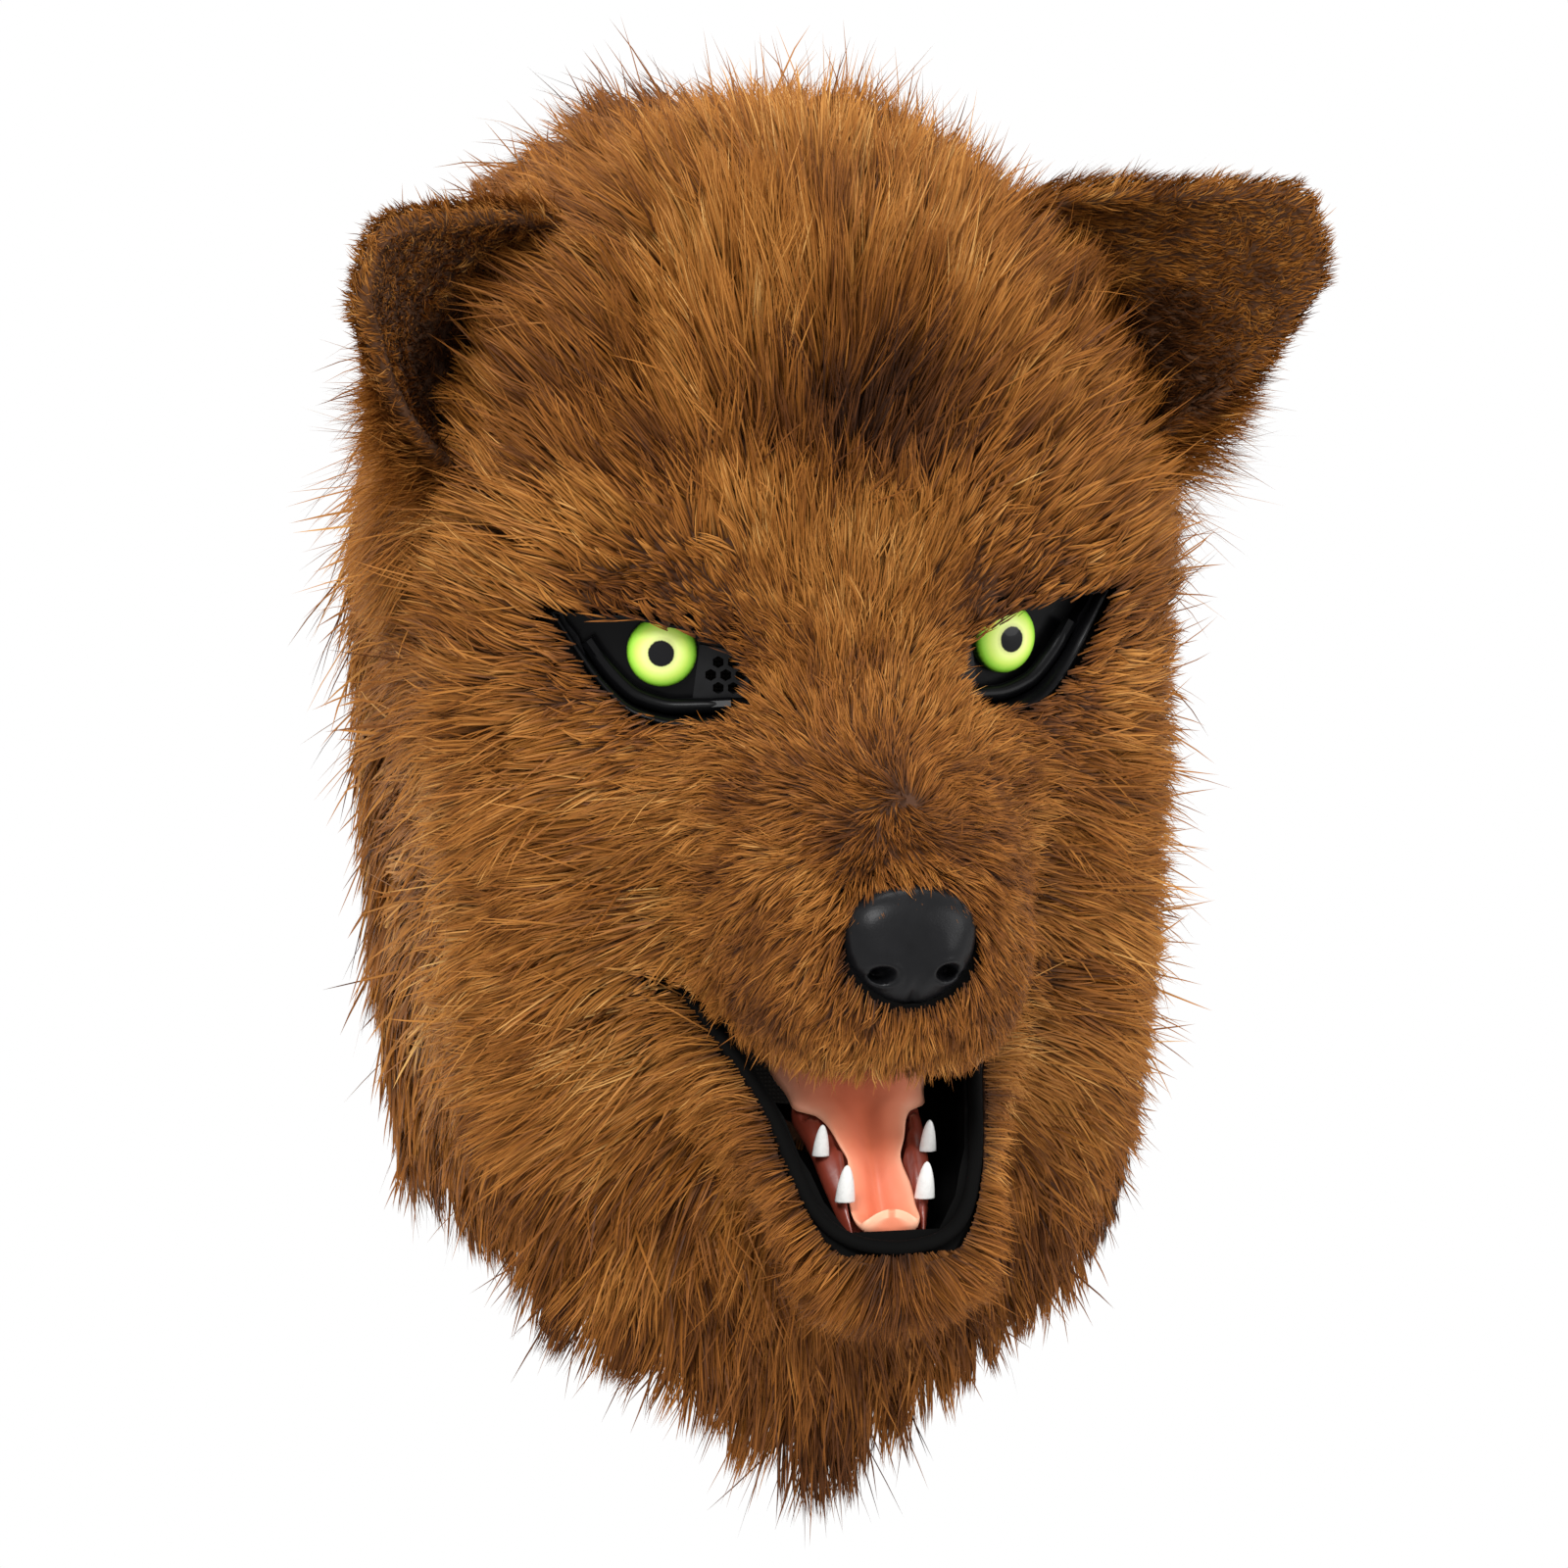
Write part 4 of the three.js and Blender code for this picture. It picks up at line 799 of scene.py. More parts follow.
def cloth_sheet(name, points, quads, middle, thickness, replaces):
    """A sheet of ground cloth whose faces turn away from a middle point, made thick inwards."""
    a, b, d = (points[quads[:, k]] for k in (0, 1, 3))
    if (np.cross(b - a, d - a) * (points[quads].mean(1) - middle)).sum() < 0:
        quads = quads[:, ::-1]
    none = np.zeros((0, 3), int)
    piece = mesh_piece(name, points, quads, none, pelt_cloth, replaces=replaces)
    solid = piece.modifiers.new("cloth thickness", "SOLIDIFY")
    solid.thickness = thickness * MM
    solid.offset = -1


def fur_ground(name, zone, replaces):
    centres = (ground[:-1, :-1] + ground[1:, 1:]) / 2
    keep = (in_zone(centres, zone) & grows(centres, GROUND_MARGIN)).ravel()
    used, flat = np.unique(grid_quads(*ground.shape[:2])[keep], return_inverse=True)
    points, quads = ground.reshape(-1, 3)[used], flat.reshape(-1, 4)
    cloth_sheet(name, points, quads, (0, -20, -150), CLOTH_THICK, replaces)


for zone in ("face", "bib", "hood"):
    fur_ground(f"{zone}_fur_ground", zone, (f"fur_{zone}",))

# %% [markdown]
# ## Fur on the head
# The face takes the most strands, because it is seen closest. The back needs fewer, a
# little wider. One piece could hold all, but a piece for each zone can have its own width of
# strand, and each stays below two hundred thousand triangles.

# %% Head fur
SHORT = {"material": short_fur, "slot": "short_fur", "parts": 2, "hold": 0.4}
head_fur("brow", 32000, 0.55)
head_fur("cheek", 31000, 0.55)
head_fur("muzzle", 30000, 0.42, lock=3.2, **SHORT)
head_fur("crown", 24500, 0.62, lock=8.0, hold=0.7)
head_fur("back", 21000, 0.95)
head_fur("bib", 19000, 0.66)

# %% [markdown]
# ## Jaw fur
# The lower jaw is a trough with short fur on its outside. A second head form could be made
# for it, but the same section serves, with its own table, flat along the rim and round below.
# Only the outside grows fur, so the turn runs under the jaw from rim to rim.

# %% Jaw fur
def jaw_skin(y, turn, lift):
    """The section of the head, flat along the rim and round below it, moved out by lift."""
    half, rim, low = (jaw_at[name](y) for name in ("half", "rim", "low"))
    grid = section(y, turn, half, rim - 0.1 * (rim - low), rim, low, 6.0, 2.4)
    out = grid_normals(grid, joined=False)
    out *= np.sign(((grid - grid.mean(1, keepdims=True)) * out).sum())
    front_end = np.exp(-(((y - JAW_FRONT) / 0.02) ** 2))[..., None]
    out = unit(out + front_end * (0, -1.5, 0))
    return grid + lift * out, out


def jaw_grid(rows, columns, past_rim, lift):
    """The outside of the jaw: half a turn from rim to rim, and a little past each rim."""
    y = JAW_FRONT + 0.44 * np.linspace(0, 1, rows)[:, None] ** 1.5
    turn = np.linspace(math.pi - past_rim, 2 * math.pi + past_rim, columns)[None, :]
    return jaw_skin(*np.broadcast_arrays(y, turn), lift)


def chin_patch(count):
    """Roots on a low bow round the tip of the jaw: y falls back with the square of x."""
    across, down = rng.uniform(-1, 1, count), rng.random(count)
    y = JAW_FRONT * SNOUT_REACH - 1.4 + 3.4 * across**2 + 1.5 * down
    roots = np.stack([CHIN_HALF * across, y, CHIN_TOP - CHIN_TALL * down], -1)
    return roots, unit(np.stack([0.5 * across, -1 + 0 * down, -0.25 - 0.3 * down], -1))


CHIN_HALF, CHIN_TOP, CHIN_TALL = 17.5, -282.0, 10.0
FRONT_DENSITY = 2.4  # the front third of the jaw carries more strands
jaw, jaw_out = jaw_grid(90, 120, 0.35, 0.35 * JAW_PILE)
density = np.ones((89, 119))
density[:30] = FRONT_DENSITY
roots, out = scatter(jaw, jaw_out, density, 17000 // THIN)
tip, tip_out = chin_patch(1600 // THIN)
roots, out = np.concatenate([roots, tip]), np.concatenate([out, tip_out])
chin = 1 - step(roots[:, 1], -165, -140)
flank = step(roots[:, 1], -158, -118)
under = step(-roots[:, 2], 262, 292)
sideways = 0.9 * np.clip(roots[:, 0] / 18, -1, 1)
way = np.stack([sideways, 0.75 - 0.75 * chin, -0.35 - 0.4 * np.maximum(chin, flank)], -1)
length = 9 + 5 * under + 3 * chin + 13 * flank
wishes = (length, np.full(len(roots), 0.4), np.full(len(roots), 0.1), way)
# Painted light and shade: lighter than the head fur, most at the lit chin, and painted shade
# underneath.
shade = shade_of(roots) + 0.1 - 0.12 * under + 0.14 * chin
grow_fur("jaw_fur", roots, out, wishes, shade, 0.45, lock=3.4, **SHORT)
jaw_low = jaw_grid(40, 50, 0.02, 0.25 * JAW_PILE)[0].reshape(-1, 3)
cloth_sheet(
    "jaw_fur_ground", jaw_low, grid_quads(40, 50), jaw_low.mean(0),
    JAW_CLOTH_THICK, ("fur_jaw",),
)

# %% [markdown]
# ## Ears
# Each ear is a padded leaf, bent into a cup that opens forward. A flat leaf could be bent by
# a modifier, but an arc for each section keeps the rows of the CAD ear. The thickness rounds
# off at both edges, and the sections shrink towards the tip. Short pile covers the ear, with
# longer wisps behind.

# %% Ears
EAR_LENGTH, EAR_WIDTH, EAR_PAD = 97.0, 76.0, 6.0
EAR_COLUMNS = ("along", "width", "cup", "lean")
EAR_ROWS = (
    (-0.1, 1.0, 0.34, -0.01),
    (0.15, 1.02, 0.32, -0.01),
    (0.36, 0.94, 0.27, 0.02),
    (0.56, 0.8, 0.19, 0.06),
    (0.74, 0.62, 0.12, 0.12),
    (0.88, 0.45, 0.06, 0.18),
    (0.97, 0.3, 0.03, 0.21),
    (1.0, 0.16, 0.01, 0.22),
)
ear_at = table(EAR_COLUMNS, EAR_ROWS)
EAR_ROOT = np.array((0.77 * HEAD_HALF, -0.26 * SNOUT_REACH, -0.136 * HEAD_DROP))
EAR_AIM = unit(np.array((0.76, -0.66, 0.22)))
EAR_RISE = unit(np.array((-0.28, 0.0, 0.96)))
EAR_FRONT = np.cross(EAR_AIM, EAR_RISE)


def ear_skin(side, rows, columns):
    """Round the section: along the front of the arc and back behind it, apart by the pad."""
    along = np.linspace(-0.1, 1.0, rows)[:, None]
    t = np.linspace(0, 2, columns, endpoint=False)[None, :]
    behind = t >= 1
    across = np.where(behind, 3 - 2 * t, 2 * t - 1)
    angle = across * math.pi / 2
    half, cup = 0.5 * EAR_WIDTH * ear_at["width"](along), EAR_WIDTH * ear_at["cup"](along)
    rise = half * np.sin(angle) + ear_at["lean"](along) * EAR_WIDTH
    front = -cup * np.cos(angle)
    slope = unit(np.stack([half * np.cos(angle) + 1e-3, cup * np.sin(angle)], -1))
    pad = 0.5 * EAR_PAD * np.minimum(1, 0.35 + 2.2 * ear_at["width"](along))
    pad = pad * np.sqrt(np.clip(1 - np.abs(across) ** 8, 0, 1)) * np.where(behind, -1, 1)
    rise, front = rise - slope[..., 1] * pad, front + slope[..., 0] * pad
    grid = EAR_ROOT + along[..., None] * EAR_LENGTH * EAR_AIM
    grid = grid + rise[..., None] * EAR_RISE + front[..., None] * EAR_FRONT
    return grid * (side, 1, 1)


def ear_fur(name, side, count):
    grid = ear_skin(side, 70, 96)
    tip = grid[-1:].mean(1, keepdims=True) + 0 * grid[-1:]
    grid = np.concatenate([grid, (grid[-1:] + tip) / 2, tip * 0.98 + grid[-1:] * 0.02])
    ring = np.concatenate([grid, grid[:, :1]], 1)
    out = grid_normals(ring)
    out *= np.sign(((ring - ring.mean(1, keepdims=True)) * out)[:, 50:90].sum())
    above = np.ones((71, 96), bool)
    above[:8] = False  # the rows inside the fur of the head
    roots, normal = scatter(ring, out, above, count // THIN)
    own = roots * (side, 1, 1) - EAR_ROOT
    away, high = own @ EAR_AIM / EAR_LENGTH, own @ EAR_RISE / EAR_WIDTH
    rear = (normal * (side, 1, 1)) @ EAR_FRONT < 0
    skirt = (1 - step(away, 0.1, 0.75)) * step(-high, 0.0, 0.35)
    length = np.where(rear, 11.0 + 22 * skirt, 7.5) * (1.3 - 0.6 * away)
    way = (EAR_AIM + high[:, None] * 0.9 * EAR_RISE) * (side, 1, 1)
    lift = np.where(rear, 0.45, 0.3)
    # Painted shade in the hollow at the base of the ear, on its inside.
    hollow_shade = (1 - step(away, 0.25, 0.8)) * (1 - step(np.abs(high + 0.2), 0.14, 0.34)) * ~rear
    shade = 0.53 - 0.5 * hollow_shade + 0.09 * ripple(roots, 14, 8)
    wishes = (length, lift, np.full(len(roots), 0.0), way)
    pile = {"material": ear_pile, "slot": "ear_velour", "parts": 2, "lock": 2.6, "hold": 0.3}
    grow_fur(name, roots, normal, wishes, shade, 0.4, **pile)


for hand, side in SIDES:
    leaf = ear_skin(side, 44, 72)
    closed_piece(f"ear_{hand}_leaf", leaf, velour, replaces=(f"ear_{hand}",))
    ear_fur(f"ear_{hand}_pile", side, 14000)

# %% [markdown]
# ## Nose
# The nose is one moulded black cap: a broad heart seen from the front, domed forward, with
# two round nostrils and a small cleft below. Booleans could cut the nostrils, but they leave
# sharp edges. Here dents are pushed into the dome by a smooth step of the distance from each
# nostril's middle, so their rims stay soft, as moulded ones are.

# %% Nose
NOSE_COLUMNS = ("depth", "width", "height", "rise")
NOSE_ROWS = (
    (0.0, 0.74, 0.74, -0.02),
    (0.15, 0.94, 0.94, -0.01),
    (0.4, 1.0, 1.0, 0.0),
    (0.64, 0.94, 0.92, 0.01),
    (0.84, 0.76, 0.72, 0.02),
    (0.96, 0.46, 0.42, 0.02),
    (1.0, 0.02, 0.02, 0.02),
)
nose_at = table(NOSE_COLUMNS, NOSE_ROWS)


def nose_skin(rows, columns):
    """Rings of a rounded heart along the depth, with dents for nostrils and cleft."""
    depth = np.sin(np.linspace(0, math.pi / 2, rows))[:, None] ** 1.15
    c, s = around(columns)
    x = 0.53 * NOSE_WIDTH * nose_at["width"](depth) * c * (0.9 + 0.17 * s)
    high = 0.5 * NOSE_HEIGHT * nose_at["height"](depth) * signed_power(s, 0.9)
    z = high + nose_at["rise"](depth) * NOSE_HEIGHT
    y = -0.955 * SNOUT_REACH - depth * NOSE_DEPTH + 0 * c
    away = np.hypot((np.abs(x) - 0.235 * NOSE_WIDTH) / 3.6, (z + 0.2 * NOSE_HEIGHT) / 2.6)
    slot = np.hypot((np.abs(x) - 0.33 * NOSE_WIDTH) / 4.5, (z + 0.23 * NOSE_HEIGHT) / 1.1)
    front = step(depth, 0.3, 0.6)
    nostril_rim = 0.5 * np.exp(-(((away - 1.35) / 0.3) ** 2))
    y = y - front * nostril_rim
    y = y + front * 6.5 * (1 - step(away, 0.45, 1.15)) + front * 1.2 * (1 - step(slot, 0.2, 1.3))
    y = y + front * 1.4 * np.exp(-((x / 1.3) ** 2)) * step(-z, 6, 15)
    y = y - 0.9 * front * np.exp(-(((np.abs(x) - 9) / 5) ** 2 + ((z + 2) / 5) ** 2))
    return np.stack([x, y, z - NOSE_DOWN], -1)


def black_plastic(name, dark, light, worn, rough, grain, bump, **levels):
    """Patches of wear change tone and gloss, and a finer grain only bumps the surface."""
    f = Finish(name)
    wear = f.noise(worn)
    roughness = rough[0] + wear * rough[1]
    return f.surface(f.mix(wear, dark, light), roughness, (f.noise(*grain), *bump), **levels)


nose_plastic = black_plastic(
    "nose plastic", (0.0018, 0.0018, 0.0022), (0.007, 0.007, 0.008),
    worn=120.0, rough=(0.28, 0.12), grain=(1500.0, 2.0), bump=(0.25, 0.0002), specular=0.16,
)
closed_piece("nose_cap", nose_skin(64, 80), nose_plastic, replaces=("nose",))

# %% [markdown]
# ## Eyes
# An eye is a painted disc under a clear dome, set in a glossy black surround. The dome is a
# profile turned about its axis. Its UV map is its front view, so the iris colours are rings
# over the distance from the middle.

# %% Eyes
EYE_DIA, EYE_DOME, RECESS, LID_DIA, RIM_RISE = 20.3, 4.2, 3.2, 4.6, 1.6


def turned_disc(profile, columns):
    """Rings at each (radius, height) of the profile, from the back round the rim to the front."""
    c, s = around(columns)
    r, h = profile[:, :1], profile[:, 1:]
    return np.stack([r * c, r * s, h + 0 * c], -1)


f = Finish("painted iris")
uv, across, upright = f.strand()
far = ((across - 0.5) * (across - 0.5) + (upright - 0.5) * (upright - 0.5)) ** 0.5 * 2
rays = f.noise(1.0, vector=f.scaled(uv, (26.0, 26.0, 1.0)))
IRIS_RINGS = (
    (0.0, (0.004, 0.004, 0.005)),
    (0.355, (0.004, 0.004, 0.005)),
    (0.385, (0.66, 0.72, 0.26)),
    (0.5, (0.82, 0.94, 0.3)),
    (0.72, (0.66, 0.9, 0.15)),
    (0.88, (0.38, 0.8, 0.07)),
    (0.955, (0.22, 0.55, 0.03)),
    (1.0, (0.012, 0.03, 0.006)),
)
iris = f.ramp(far + (rays - 0.5) * 0.05, IRIS_RINGS)
# The iris also glows faintly in its own colours, as painted light.
eye_gloss = f.surface(
    iris, 0.25 + rays * 0.1, specular=0.1, coat_weight=0.15, coat_roughness=0.04,
    emission_color=iris, emission_strength=0.05,
)
gloss_black = black_plastic(
    "glossy black plastic", (0.0012, 0.0012, 0.0015), (0.004, 0.004, 0.0045), worn=90.0,
    rough=(0.26, 0.14), grain=(400.0,), bump=(0.12, 0.0003), specular=0.08, coat_weight=0.04,
)
rim_r, dome = EYE_DIA / 2, np.linspace(0, math.pi / 2, 22)[:-1]
back = np.array([(0.4, 0.3 - RECESS), (rim_r - 0.3, 0.3 - RECESS), (rim_r, 0.6 - RECESS)])
front = np.stack([rim_r * np.cos(dome), -0.3 * RECESS + EYE_DOME * np.sin(dome)], -1)
eye_grid = turned_disc(np.concatenate([back, front]), 64)
eye_uv = 0.5 + 0.5 * eye_grid[..., :2] / rim_r
for hand, side in SIDES:
    grid = eye_middle(side) + eye_grid @ eye_axes(side)
    closed_piece(f"eye_{hand}_dome", grid, eye_gloss, eye_uv, (f"eye_{hand}",))

# %% [markdown]
# ## Lower eyelids and socket walls
# A soft roll follows the lower edge of each eye. It could be bent from a curve object, but a
# circle carried along a smooth line through the lower half of the eye outline gives the same
# roll as plain points. Behind the skin, the same outline is carried back to the surround as
# a thin wall, so that the eye sits in a closed socket, as a moulded one does.

# %% Lids
def run_length(points):
    """How far along a line each of its points lies."""
    return np.concatenate([[0], np.cumsum(np.linalg.norm(np.diff(points, axis=0), axis=1))])


def smooth_line(points, count):
    """Points along a curve that passes through each given point."""
    keys = run_length(points)
    at = np.linspace(0, keys[-1], count)
    return np.stack([between(keys, points[:, k])(at) for k in range(points.shape[1])], -1)


def tube(line, radius, columns, up):
    """A circle of the given radius about each point of a line, square to the line."""
    way = unit(np.gradient(line, axis=0))
    side = unit(np.cross(way, up))
    top = np.cross(side, way)
    c, s = around(columns)
    ring = side[:, None] * c[..., None] + top[:, None] * s[..., None]
    return line[:, None] + radius[:, None, None] * ring


def socket_wall(side):
    """The eye outline carried back from just under the skin to the surround."""
    middle = EYE_OPENING.mean(0)
    line = smooth_line(np.concatenate([EYE_OPENING, EYE_OPENING[:1]]), SOCKET_POINTS)
    line = (middle + (line - middle) * 1.07) * EYE_REACH
    local = (skin.reshape(-1, 3) - eye_middle(side)) @ eye_axes(side).T
    local = local[np.abs(local[:, 2]) < 34]
    nearest = ((local[None, :, :2] - line[:, None]) ** 2).sum(-1).argmin(1)
    wrapped = nearest[np.arange(-3, SOCKET_POINTS + 3) % SOCKET_POINTS]
    front = np.convolve(local[wrapped, 2], np.ones(7) / 7, "valid") - 3
    back = np.minimum(-2.5, front - 3)
    wide = line + SOCKET_THICK * unit(line - middle * EYE_REACH)
    corners = ((line, back), (line, front), (wide, front), (wide, back))
    grid = np.stack([np.column_stack([plan, height]) for plan, height in corners], 1)
    return eye_middle(side) + grid @ eye_axes(side)


SOCKET_THICK, SOCKET_POINTS, LID_POINTS = 1.2, 73, 60
low = EYE_OPENING[8:14] * EYE_REACH  # the points of the lower edge
lid_height = np.full(len(low), RIM_RISE - 0.2 * LID_DIA)
lid_keys = np.column_stack([low[:, 0] * 0.97, low[:, 1] + 0.35 * LID_DIA, lid_height])
lid_line = smooth_line(lid_keys, LID_POINTS)
ease = np.linspace(0, 1, LID_POINTS)
lid_radius = (LID_DIA / 2 + 0.15) * np.sqrt(np.clip(1 - np.abs(2 * ease - 1) ** 8, 0.02, 1))
for hand, side in SIDES:
    grid = eye_middle(side) + tube(lid_line, lid_radius, 20, (0, 0, 1)) @ eye_axes(side)
    closed_piece(f"eye_{hand}_lid", grid, gloss_black)
    closed_piece(f"eye_{hand}_socket", socket_wall(side), gloss_black)

# %% [markdown]
# ## Tongue
# The tongue is a thin moulded sheet of soft vinyl that rolls over the lower lip. It could be
# sculpted, but a table of rows keeps the CAD shape and lets its edge be drawn finer. Its UV
# map runs over its width and along it, so its tip can be paler, its rolled edges paler as a
# painted highlight, and its hollow middle darker as painted shade.

# %% Tongue
TONGUE_LENGTH, TONGUE_WIDTH, TONGUE_THICK = 62.0, 46.0, 2.4
TONGUE_COLUMNS = ("at", "back", "down", "width", "hollow", "curl")
TONGUE_ROWS = (
    (0.0, 0.98, -0.86, 0.98, 0.6, -1.4),
    (0.125, 0.8, -0.74, 1.04, 0.8, -1.8),
    (0.25, 0.62, -0.62, 0.93, 1.0, -2.2),
    (0.31, 0.55, -0.55, 0.84, 1.3, -1.8),
    (0.36, 0.488, -0.488, 0.58, 1.7, -0.8),
    (0.43, 0.413, -0.404, 0.5, 1.5, 0.4),
    (0.5, 0.34, -0.32, 0.43, 1.2, 1.0),
    (0.56, 0.282, -0.243, 0.36, 1.4, 1.0),
    (0.625, 0.22, -0.16, 0.39, 1.8, 1.0),
    (0.75, 0.1, -0.03, 0.42, 2.2, 0.9),
    (0.875, 0.01, 0.0, 0.41, 1.0, 0.7),
    (0.95, -0.02, -0.035, 0.42, 0.3, 0.3),
    (1.0, -0.03, -0.085, 0.42, 0.0, 0.0),
)
TONGUE_FRONT, TONGUE_FLOOR = -0.883 * SNOUT_REACH, -0.972 * HEAD_DROP
tongue_at = table(TONGUE_COLUMNS, TONGUE_ROWS)


def tongue_skin(rows, columns):
    """Over the top and back beneath, hollow down the middle and rolled at the edges."""
    at = 1 - (1 - np.linspace(0, 1, rows)[:, None]) ** 1.5
    t = np.linspace(0, 2, columns, endpoint=False)[None, :]
    under = t >= 1
    u = np.where(under, 3 - 2 * t, 2 * t - 1)
    wave = 1 + 0.035 * np.sin(19 * at + 0.6) + 0.02 * np.sin(41 * at)
    half = 0.5 * TONGUE_WIDTH * tongue_at["width"](at) * wave
    half = half * np.sqrt(np.clip(1 - (np.clip(at - 0.86, 0, 1) / 0.142) ** 2, 0, 1))
    y = TONGUE_FRONT + tongue_at["back"](at) * TONGUE_LENGTH
    z = TONGUE_FLOOR - tongue_at["down"](at) * TONGUE_LENGTH
    z = z - tongue_at["hollow"](at) * TONGUE_THICK * np.exp(-9 * u * u)
    z = z + tongue_at["curl"](at) * TONGUE_THICK * u**4
    thick = TONGUE_THICK * np.sqrt(np.clip(1 - np.abs(u) ** 10, 0, 1))
    z = z + np.where(under, -0.7, 0.3) * thick
    uv = np.stack(np.broadcast_arrays(0.5 + 0.5 * u, at), -1)
    return np.stack([u * half, y + 0 * u, z], -1), uv


f = Finish("tongue vinyl")
uv, across, along = f.strand()
drift, fine = f.noise(60.0), f.noise(260.0, 4.0)
# Painted highlight on the rolled edges and painted shade down the hollow middle: 0 in the middle, 1
# at the edges.
edge = (across - 0.5) * (across - 0.5) * 4.0
tone = edge * 0.7 + drift * 0.35 + f.ramp(along, ((0.8, (0.0,) * 3), (1.0, (0.35,) * 3)))
TONGUE_TONES = (
    (0.0, (0.6, 0.12, 0.05)),
    (0.3, (0.78, 0.2, 0.1)),
    (0.65, (0.9, 0.3, 0.17)),
    (1.0, (1.0, 0.5, 0.32)),
)
tongue_vinyl = f.surface(
    f.ramp(tone + fine * 0.08, TONGUE_TONES), 0.42 + fine * 0.15, (fine, 0.3, 0.0005),
    specular=0.3, coat_weight=0.15, coat_roughness=0.25,
)
tongue_grid, tongue_uv = tongue_skin(84, 60)
closed_piece("tongue_sheet", tongue_grid, tongue_vinyl, tongue_uv, ("tongue",))

# %% [markdown]
# ## Gum
# The gum is a soft bar in the bottom of the jaw, which carries the teeth and the tongue. Its
# top follows the CAD table, and a bed is pressed in where the tongue lies. A boolean would
# cut the same bed, but with a hard edge. Its colour drifts a little under a wet gloss.

# %% Gum
GUM_ROWS = (
    (-0.9, 0.06, -0.982),
    (-0.88, 0.115, -0.966),
    (-0.84, 0.155, -0.936),
    (-0.79, 0.19, -0.9),
    (-0.73, 0.205, -0.872),
    (-0.66, 0.22, -0.852),
)
gum_at = table(("y", "half", "top"), GUM_ROWS)


def tongue_floor(y):
    """Height and half width of the tongue over each y, read from its own table."""
    at = np.linspace(0, 1, 80)
    run = TONGUE_FRONT + tongue_at["back"](at) * TONGUE_LENGTH
    height = TONGUE_FLOOR - tongue_at["down"](at) * TONGUE_LENGTH
    height = height - 0.8 * TONGUE_THICK - tongue_at["hollow"](at) * TONGUE_THICK
    half = 0.5 * TONGUE_WIDTH * tongue_at["width"](at)
    return np.interp(y, run[::-1], height[::-1]), np.interp(y, run[::-1], half[::-1])


def gum_skin(rows, columns):
    """A rounded bar whose top follows the table, with a bed pressed in where the tongue lies."""
    y = np.linspace(GUM_ROWS[0][0], GUM_ROWS[-1][0], rows)[:, None]
    c, s = around(columns)
    top = gum_at["top"](y) * HEAD_DROP
    x = 0.9 * gum_at["half"](y) * HEAD_HALF * signed_power(c, 0.7)
    z = top - 7 + 7 * signed_power(s, 0.7)
    bed, half = tongue_floor(y * SNOUT_REACH)
    under = 1 - step(np.abs(x), half - 0.5, half + 1.5)
    z = np.where(z > bed - 1.2, z + (np.minimum(bed - 1.2, z) - z) * under, z)
    return np.stack([x, y * SNOUT_REACH + 0 * c, np.maximum(z, top - 14)], -1)


def vinyl_finish(name, dark, light, roughness, coat, lumps=220.0):
    """Colour drifts slowly, and finer lumps bump the surface under a soft coat."""
    f = Finish(name)
    drift, fine = f.noise(70.0), f.noise(lumps, 4.0)
    colour, bump = f.mix(drift * 0.7 + fine * 0.3, dark, light), (fine, 0.3, 0.0006)
    rough = roughness + fine * 0.15
    return f.surface(colour, rough, bump, coat_weight=coat, coat_roughness=0.2)


gum_vinyl = vinyl_finish("gum vinyl", (0.13, 0.018, 0.01), (0.3, 0.05, 0.025), 0.35, 0.4)
closed_piece("gum_bed", gum_skin(40, 40), gum_vinyl, replaces=("gum",))

# %% [markdown]
# ## Teeth
# Four blunt teeth stand in the gum, two on each side, moulded in a paler and harder plastic.
# A turned cone with a full belly is enough for each, leaned a little to the front.

# %% Teeth
TOOTH_HEIGHT, TOOTH_RADIUS = 11.0, 2.95
TEETH = (("front", 0.125, -0.85, -0.946, 1.0), ("back", 0.168, -0.785, -0.9056, 0.85))


def tooth_skin(side, x, y, z, size):
    """A blunt cone with a full belly, tipped a little to the front."""
    t = np.linspace(0, 1, 26)[:, None]
    c, s = around(28)
    height = size * TOOTH_HEIGHT * t
    radius = size * TOOTH_RADIUS * np.sqrt(np.clip(1 - t**2.6, 0.004, 1)) * (1 - 0.28 * t)
    forward = 0.85 * radius * s - 0.25 * height
    grid = np.stack([radius * c, forward, height + 0 * c], -1)
    return grid + (side * x * HEAD_HALF, y * SNOUT_REACH, z * HEAD_DROP)


tooth_gloss = vinyl_finish("tooth plastic", (0.6, 0.59, 0.56), (0.85, 0.85, 0.83), 0.2, 0.5, 500.0)
for row, *where in TEETH:
    for hand, side in SIDES:
        name, grid = f"tooth_{row}_{hand}", tooth_skin(side, *where)
        closed_piece(f"{name}_crown", grid, tooth_gloss, replaces=(name,))

# %% [markdown]
# ## Rim of the jaw
# A black lip runs round the edge of the jaw and up to both corners of the mouth. It covers
# the cut edge of the jaw shell. It could be swept as a curve, but the tube of the eyelids
# serves again, along the rim of the same jaw table.

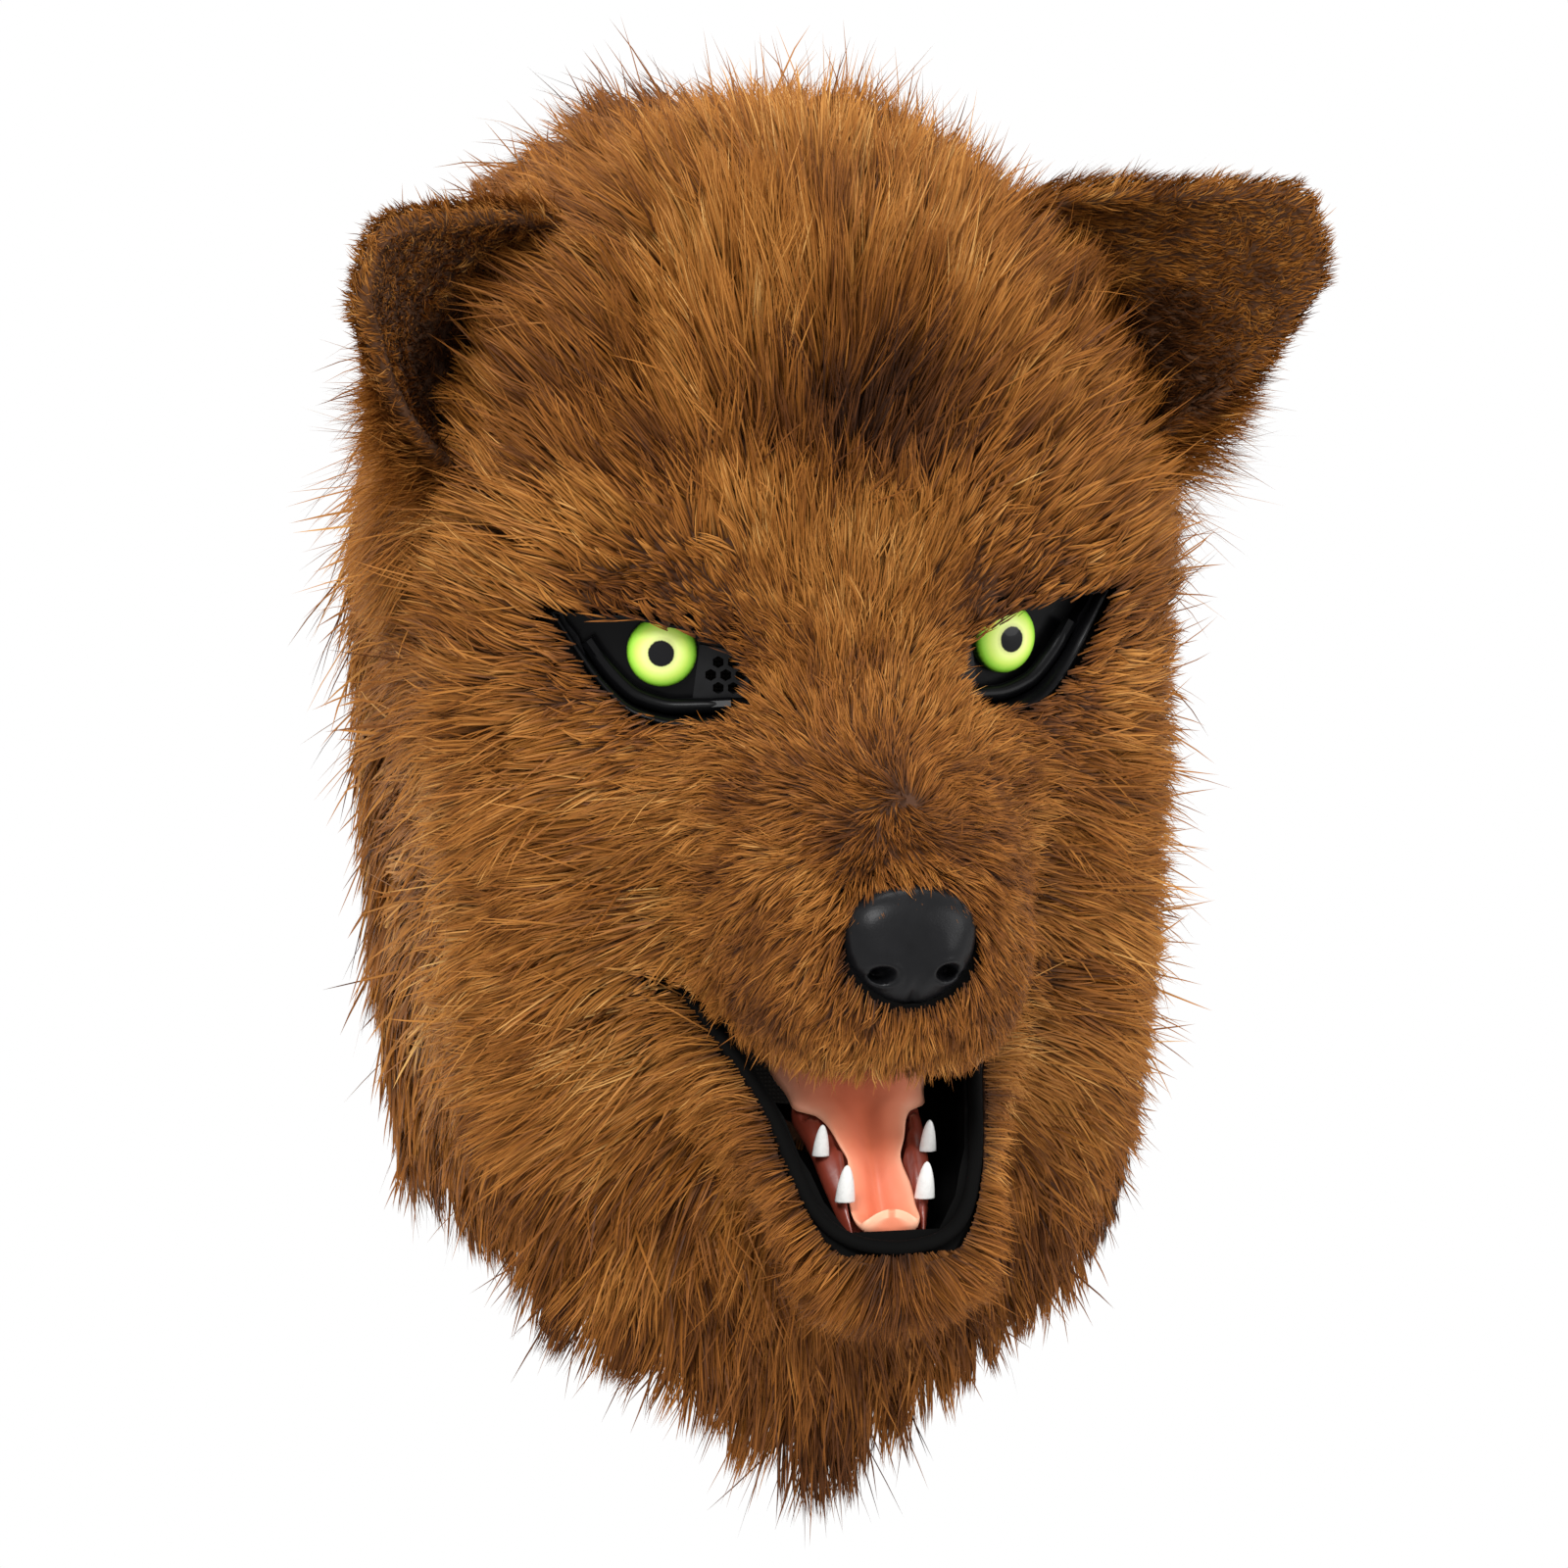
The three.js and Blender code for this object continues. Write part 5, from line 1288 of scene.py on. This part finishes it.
# %% Jaw rim
def jaw_rim():
    """Along one rim to the front and back along the other, spaced evenly and smoothed."""
    y = np.linspace(-0.47, JAW_FRONT, 46)
    half = jaw_at["half"](y) * HEAD_HALF - 1.6
    raised = RIM_LIFT * (1 - step(y, -0.935, -0.87))  # in front only
    line = np.stack([half, y * SNOUT_REACH, jaw_at["rim"](y) * HEAD_DROP - 0.6 + raised], -1)
    line = np.concatenate([line, line[::-1] * (-1, 1, 1)])
    steps = run_length(line)
    at = np.linspace(0, steps[-1], RIM_POINTS)
    line = np.stack([np.interp(at, steps, line[:, k]) for k in range(3)], -1)
    kernel = np.ones(9) / 9
    padded = np.concatenate([np.repeat(line[:1], 4, 0), line, np.repeat(line[-1:], 4, 0)])
    line = np.stack([np.convolve(padded[:, k], kernel, "valid") for k in range(3)], -1)
    return tube(line, np.full(RIM_POINTS, RIM_RADIUS), 14, (0, 0, 1))


RIM_RADIUS, RIM_LIFT, RIM_POINTS = 2.1, 4.6, 150
shell_black = black_plastic(
    "black shell plastic", (0.0012, 0.0012, 0.0012), (0.004, 0.0038, 0.0036),
    worn=50.0, rough=(0.72, 0.2), grain=(700.0, 2.0), bump=(0.3, 0.0003), specular=0.05,
)
closed_piece("jaw_rim_roll", jaw_rim(), shell_black)

# %% [markdown]
# ## Finishes of the CAD nodes that stay
# The shells, the eye surrounds and the mesh keep their CAD shapes, since little of them shows
# between the fur. Each gets its own node material in the material slots of its object. The
# lining is woven, so its threads are two crossed waves, multiplied.

# %% CAD finishes
f = Finish("hood lining cloth")
threads = {"Vector": f.add("ShaderNodeTexCoord", out="Object"), "Scale": 260.0}
warp, weft = (
    f.add("ShaderNodeTexWave", {"bands_direction": way, "wave_profile": "SIN"}, threads)
    for way in "ZX"
)
weave, lint = warp * weft, f.noise(160.0)
colour = f.mix(weave * 0.5 + lint * 0.5, (0.003, 0.0026, 0.0022), (0.014, 0.012, 0.01))
lining = f.surface(colour, 0.85 + lint * 0.15, (weave, 0.4, 0.0004), specular=0.1)
mesh_black = black_plastic(
    "eye mesh plastic", (0.002, 0.002, 0.0025), (0.012, 0.012, 0.013), worn=300.0,
    rough=(0.35, 0.2), grain=(300.0,), bump=(0.2, 0.0003), specular=0.2,
)
KEPT = {"hood_backing": lining, "face_shell": shell_black, "jaw_shell": shell_black}
for hand, _ in SIDES:
    KEPT |= {f"eye_surround_{hand}": gloss_black, f"eye_mesh_{hand}": mesh_black}
for name, material in KEPT.items():
    slots = nodes[name].data.materials
    if len(slots):
        slots[0] = material
    else:
        slots.append(material)
print("kept CAD nodes:", ", ".join(KEPT))

# %% [markdown]
# ## Floor, light and camera
# The photograph is a studio picture on white. A pale floor lies below the picture, a large
# soft light stands front left and high, and a weaker one fills from the right. The camera
# stands 15 degrees to the mask's right and 9 degrees above it. It could stand close, but a
# long lens from far away keeps the snout from growing against the ears, as in the picture.

# %% Stage
def area_light(name, place, aim, size, power):
    lamp = bpy.data.lights.new(name, "AREA")
    lamp.shape, lamp.size, lamp.energy = "DISK", size, power
    holder = bpy.data.objects.new(name, lamp)
    holder.location = place
    holder.rotation_euler = (Vector(aim) - Vector(place)).to_track_quat("-Z", "Y").to_euler()
    bpy.context.scene.collection.objects.link(holder)


LAMPS = (
    # name, place, aim, size, power
    ("key", (-0.9, -1.6, 1.2), (0, -0.06, -0.16), 0.9, 37),
    ("fill", (1.5, -1.3, 0.3), (0, -0.06, -0.16), 1.2, 13),
    ("top", (0.1, 0.3, 1.6), (0, -0.03, -0.1), 1.0, 10),
)
FLOOR_HALF, FLOOR_Z = 0.5, -0.62
DISTANCE, PICTURE_SIDE, SENSOR = 7.0, 0.451, 36
AZIMUTH, HEIGHT = math.radians(15), math.radians(9)
TARGET = Vector((-0.0046, -0.0577, -0.1639))

u, v = np.meshgrid(*[np.linspace(-FLOOR_HALF, FLOOR_HALF, 13)] * 2)
floor_points = np.stack([u, v, FLOOR_Z + 0 * u], -1).reshape(-1, 3)
floor_mesh = bpy.data.meshes.new("floor")
floor_mesh.from_pydata(floor_points.tolist(), [], grid_quads(13, 13).tolist())
floor = bpy.data.objects.new("floor", floor_mesh)
bpy.context.scene.collection.objects.link(floor)
f = Finish("pale floor")
paint = f.mix(f.noise(6.0), (0.8, 0.8, 0.8), (0.84, 0.84, 0.84))
floor_mesh.materials.append(f.surface(paint, 0.8))

world = bpy.data.worlds.new("white studio")
bpy.context.scene.world = world
world.use_nodes = True
sky = world.node_tree.nodes["Background"]
sky.inputs["Color"].default_value = (1, 1, 1, 1)
sky.inputs["Strength"].default_value = 1.0
for lamp in LAMPS:
    area_light(*lamp)

level = math.cos(HEIGHT)
away = Vector((-math.sin(AZIMUTH) * level, -math.cos(AZIMUTH) * level, math.sin(HEIGHT)))
camera = bpy.data.objects.new("camera", bpy.data.cameras.new("camera"))
camera.data.sensor_width = SENSOR
camera.data.lens = SENSOR * DISTANCE / PICTURE_SIDE
camera.data.clip_end = 20
bpy.context.scene.view_settings.view_transform = "Standard"
camera.location = TARGET + away * DISTANCE
camera.rotation_euler = (-away).to_track_quat("-Z", "Y").to_euler()
bpy.context.scene.collection.objects.link(camera)
bpy.context.scene.camera = camera
print("camera at", [round(c, 3) for c in camera.location])
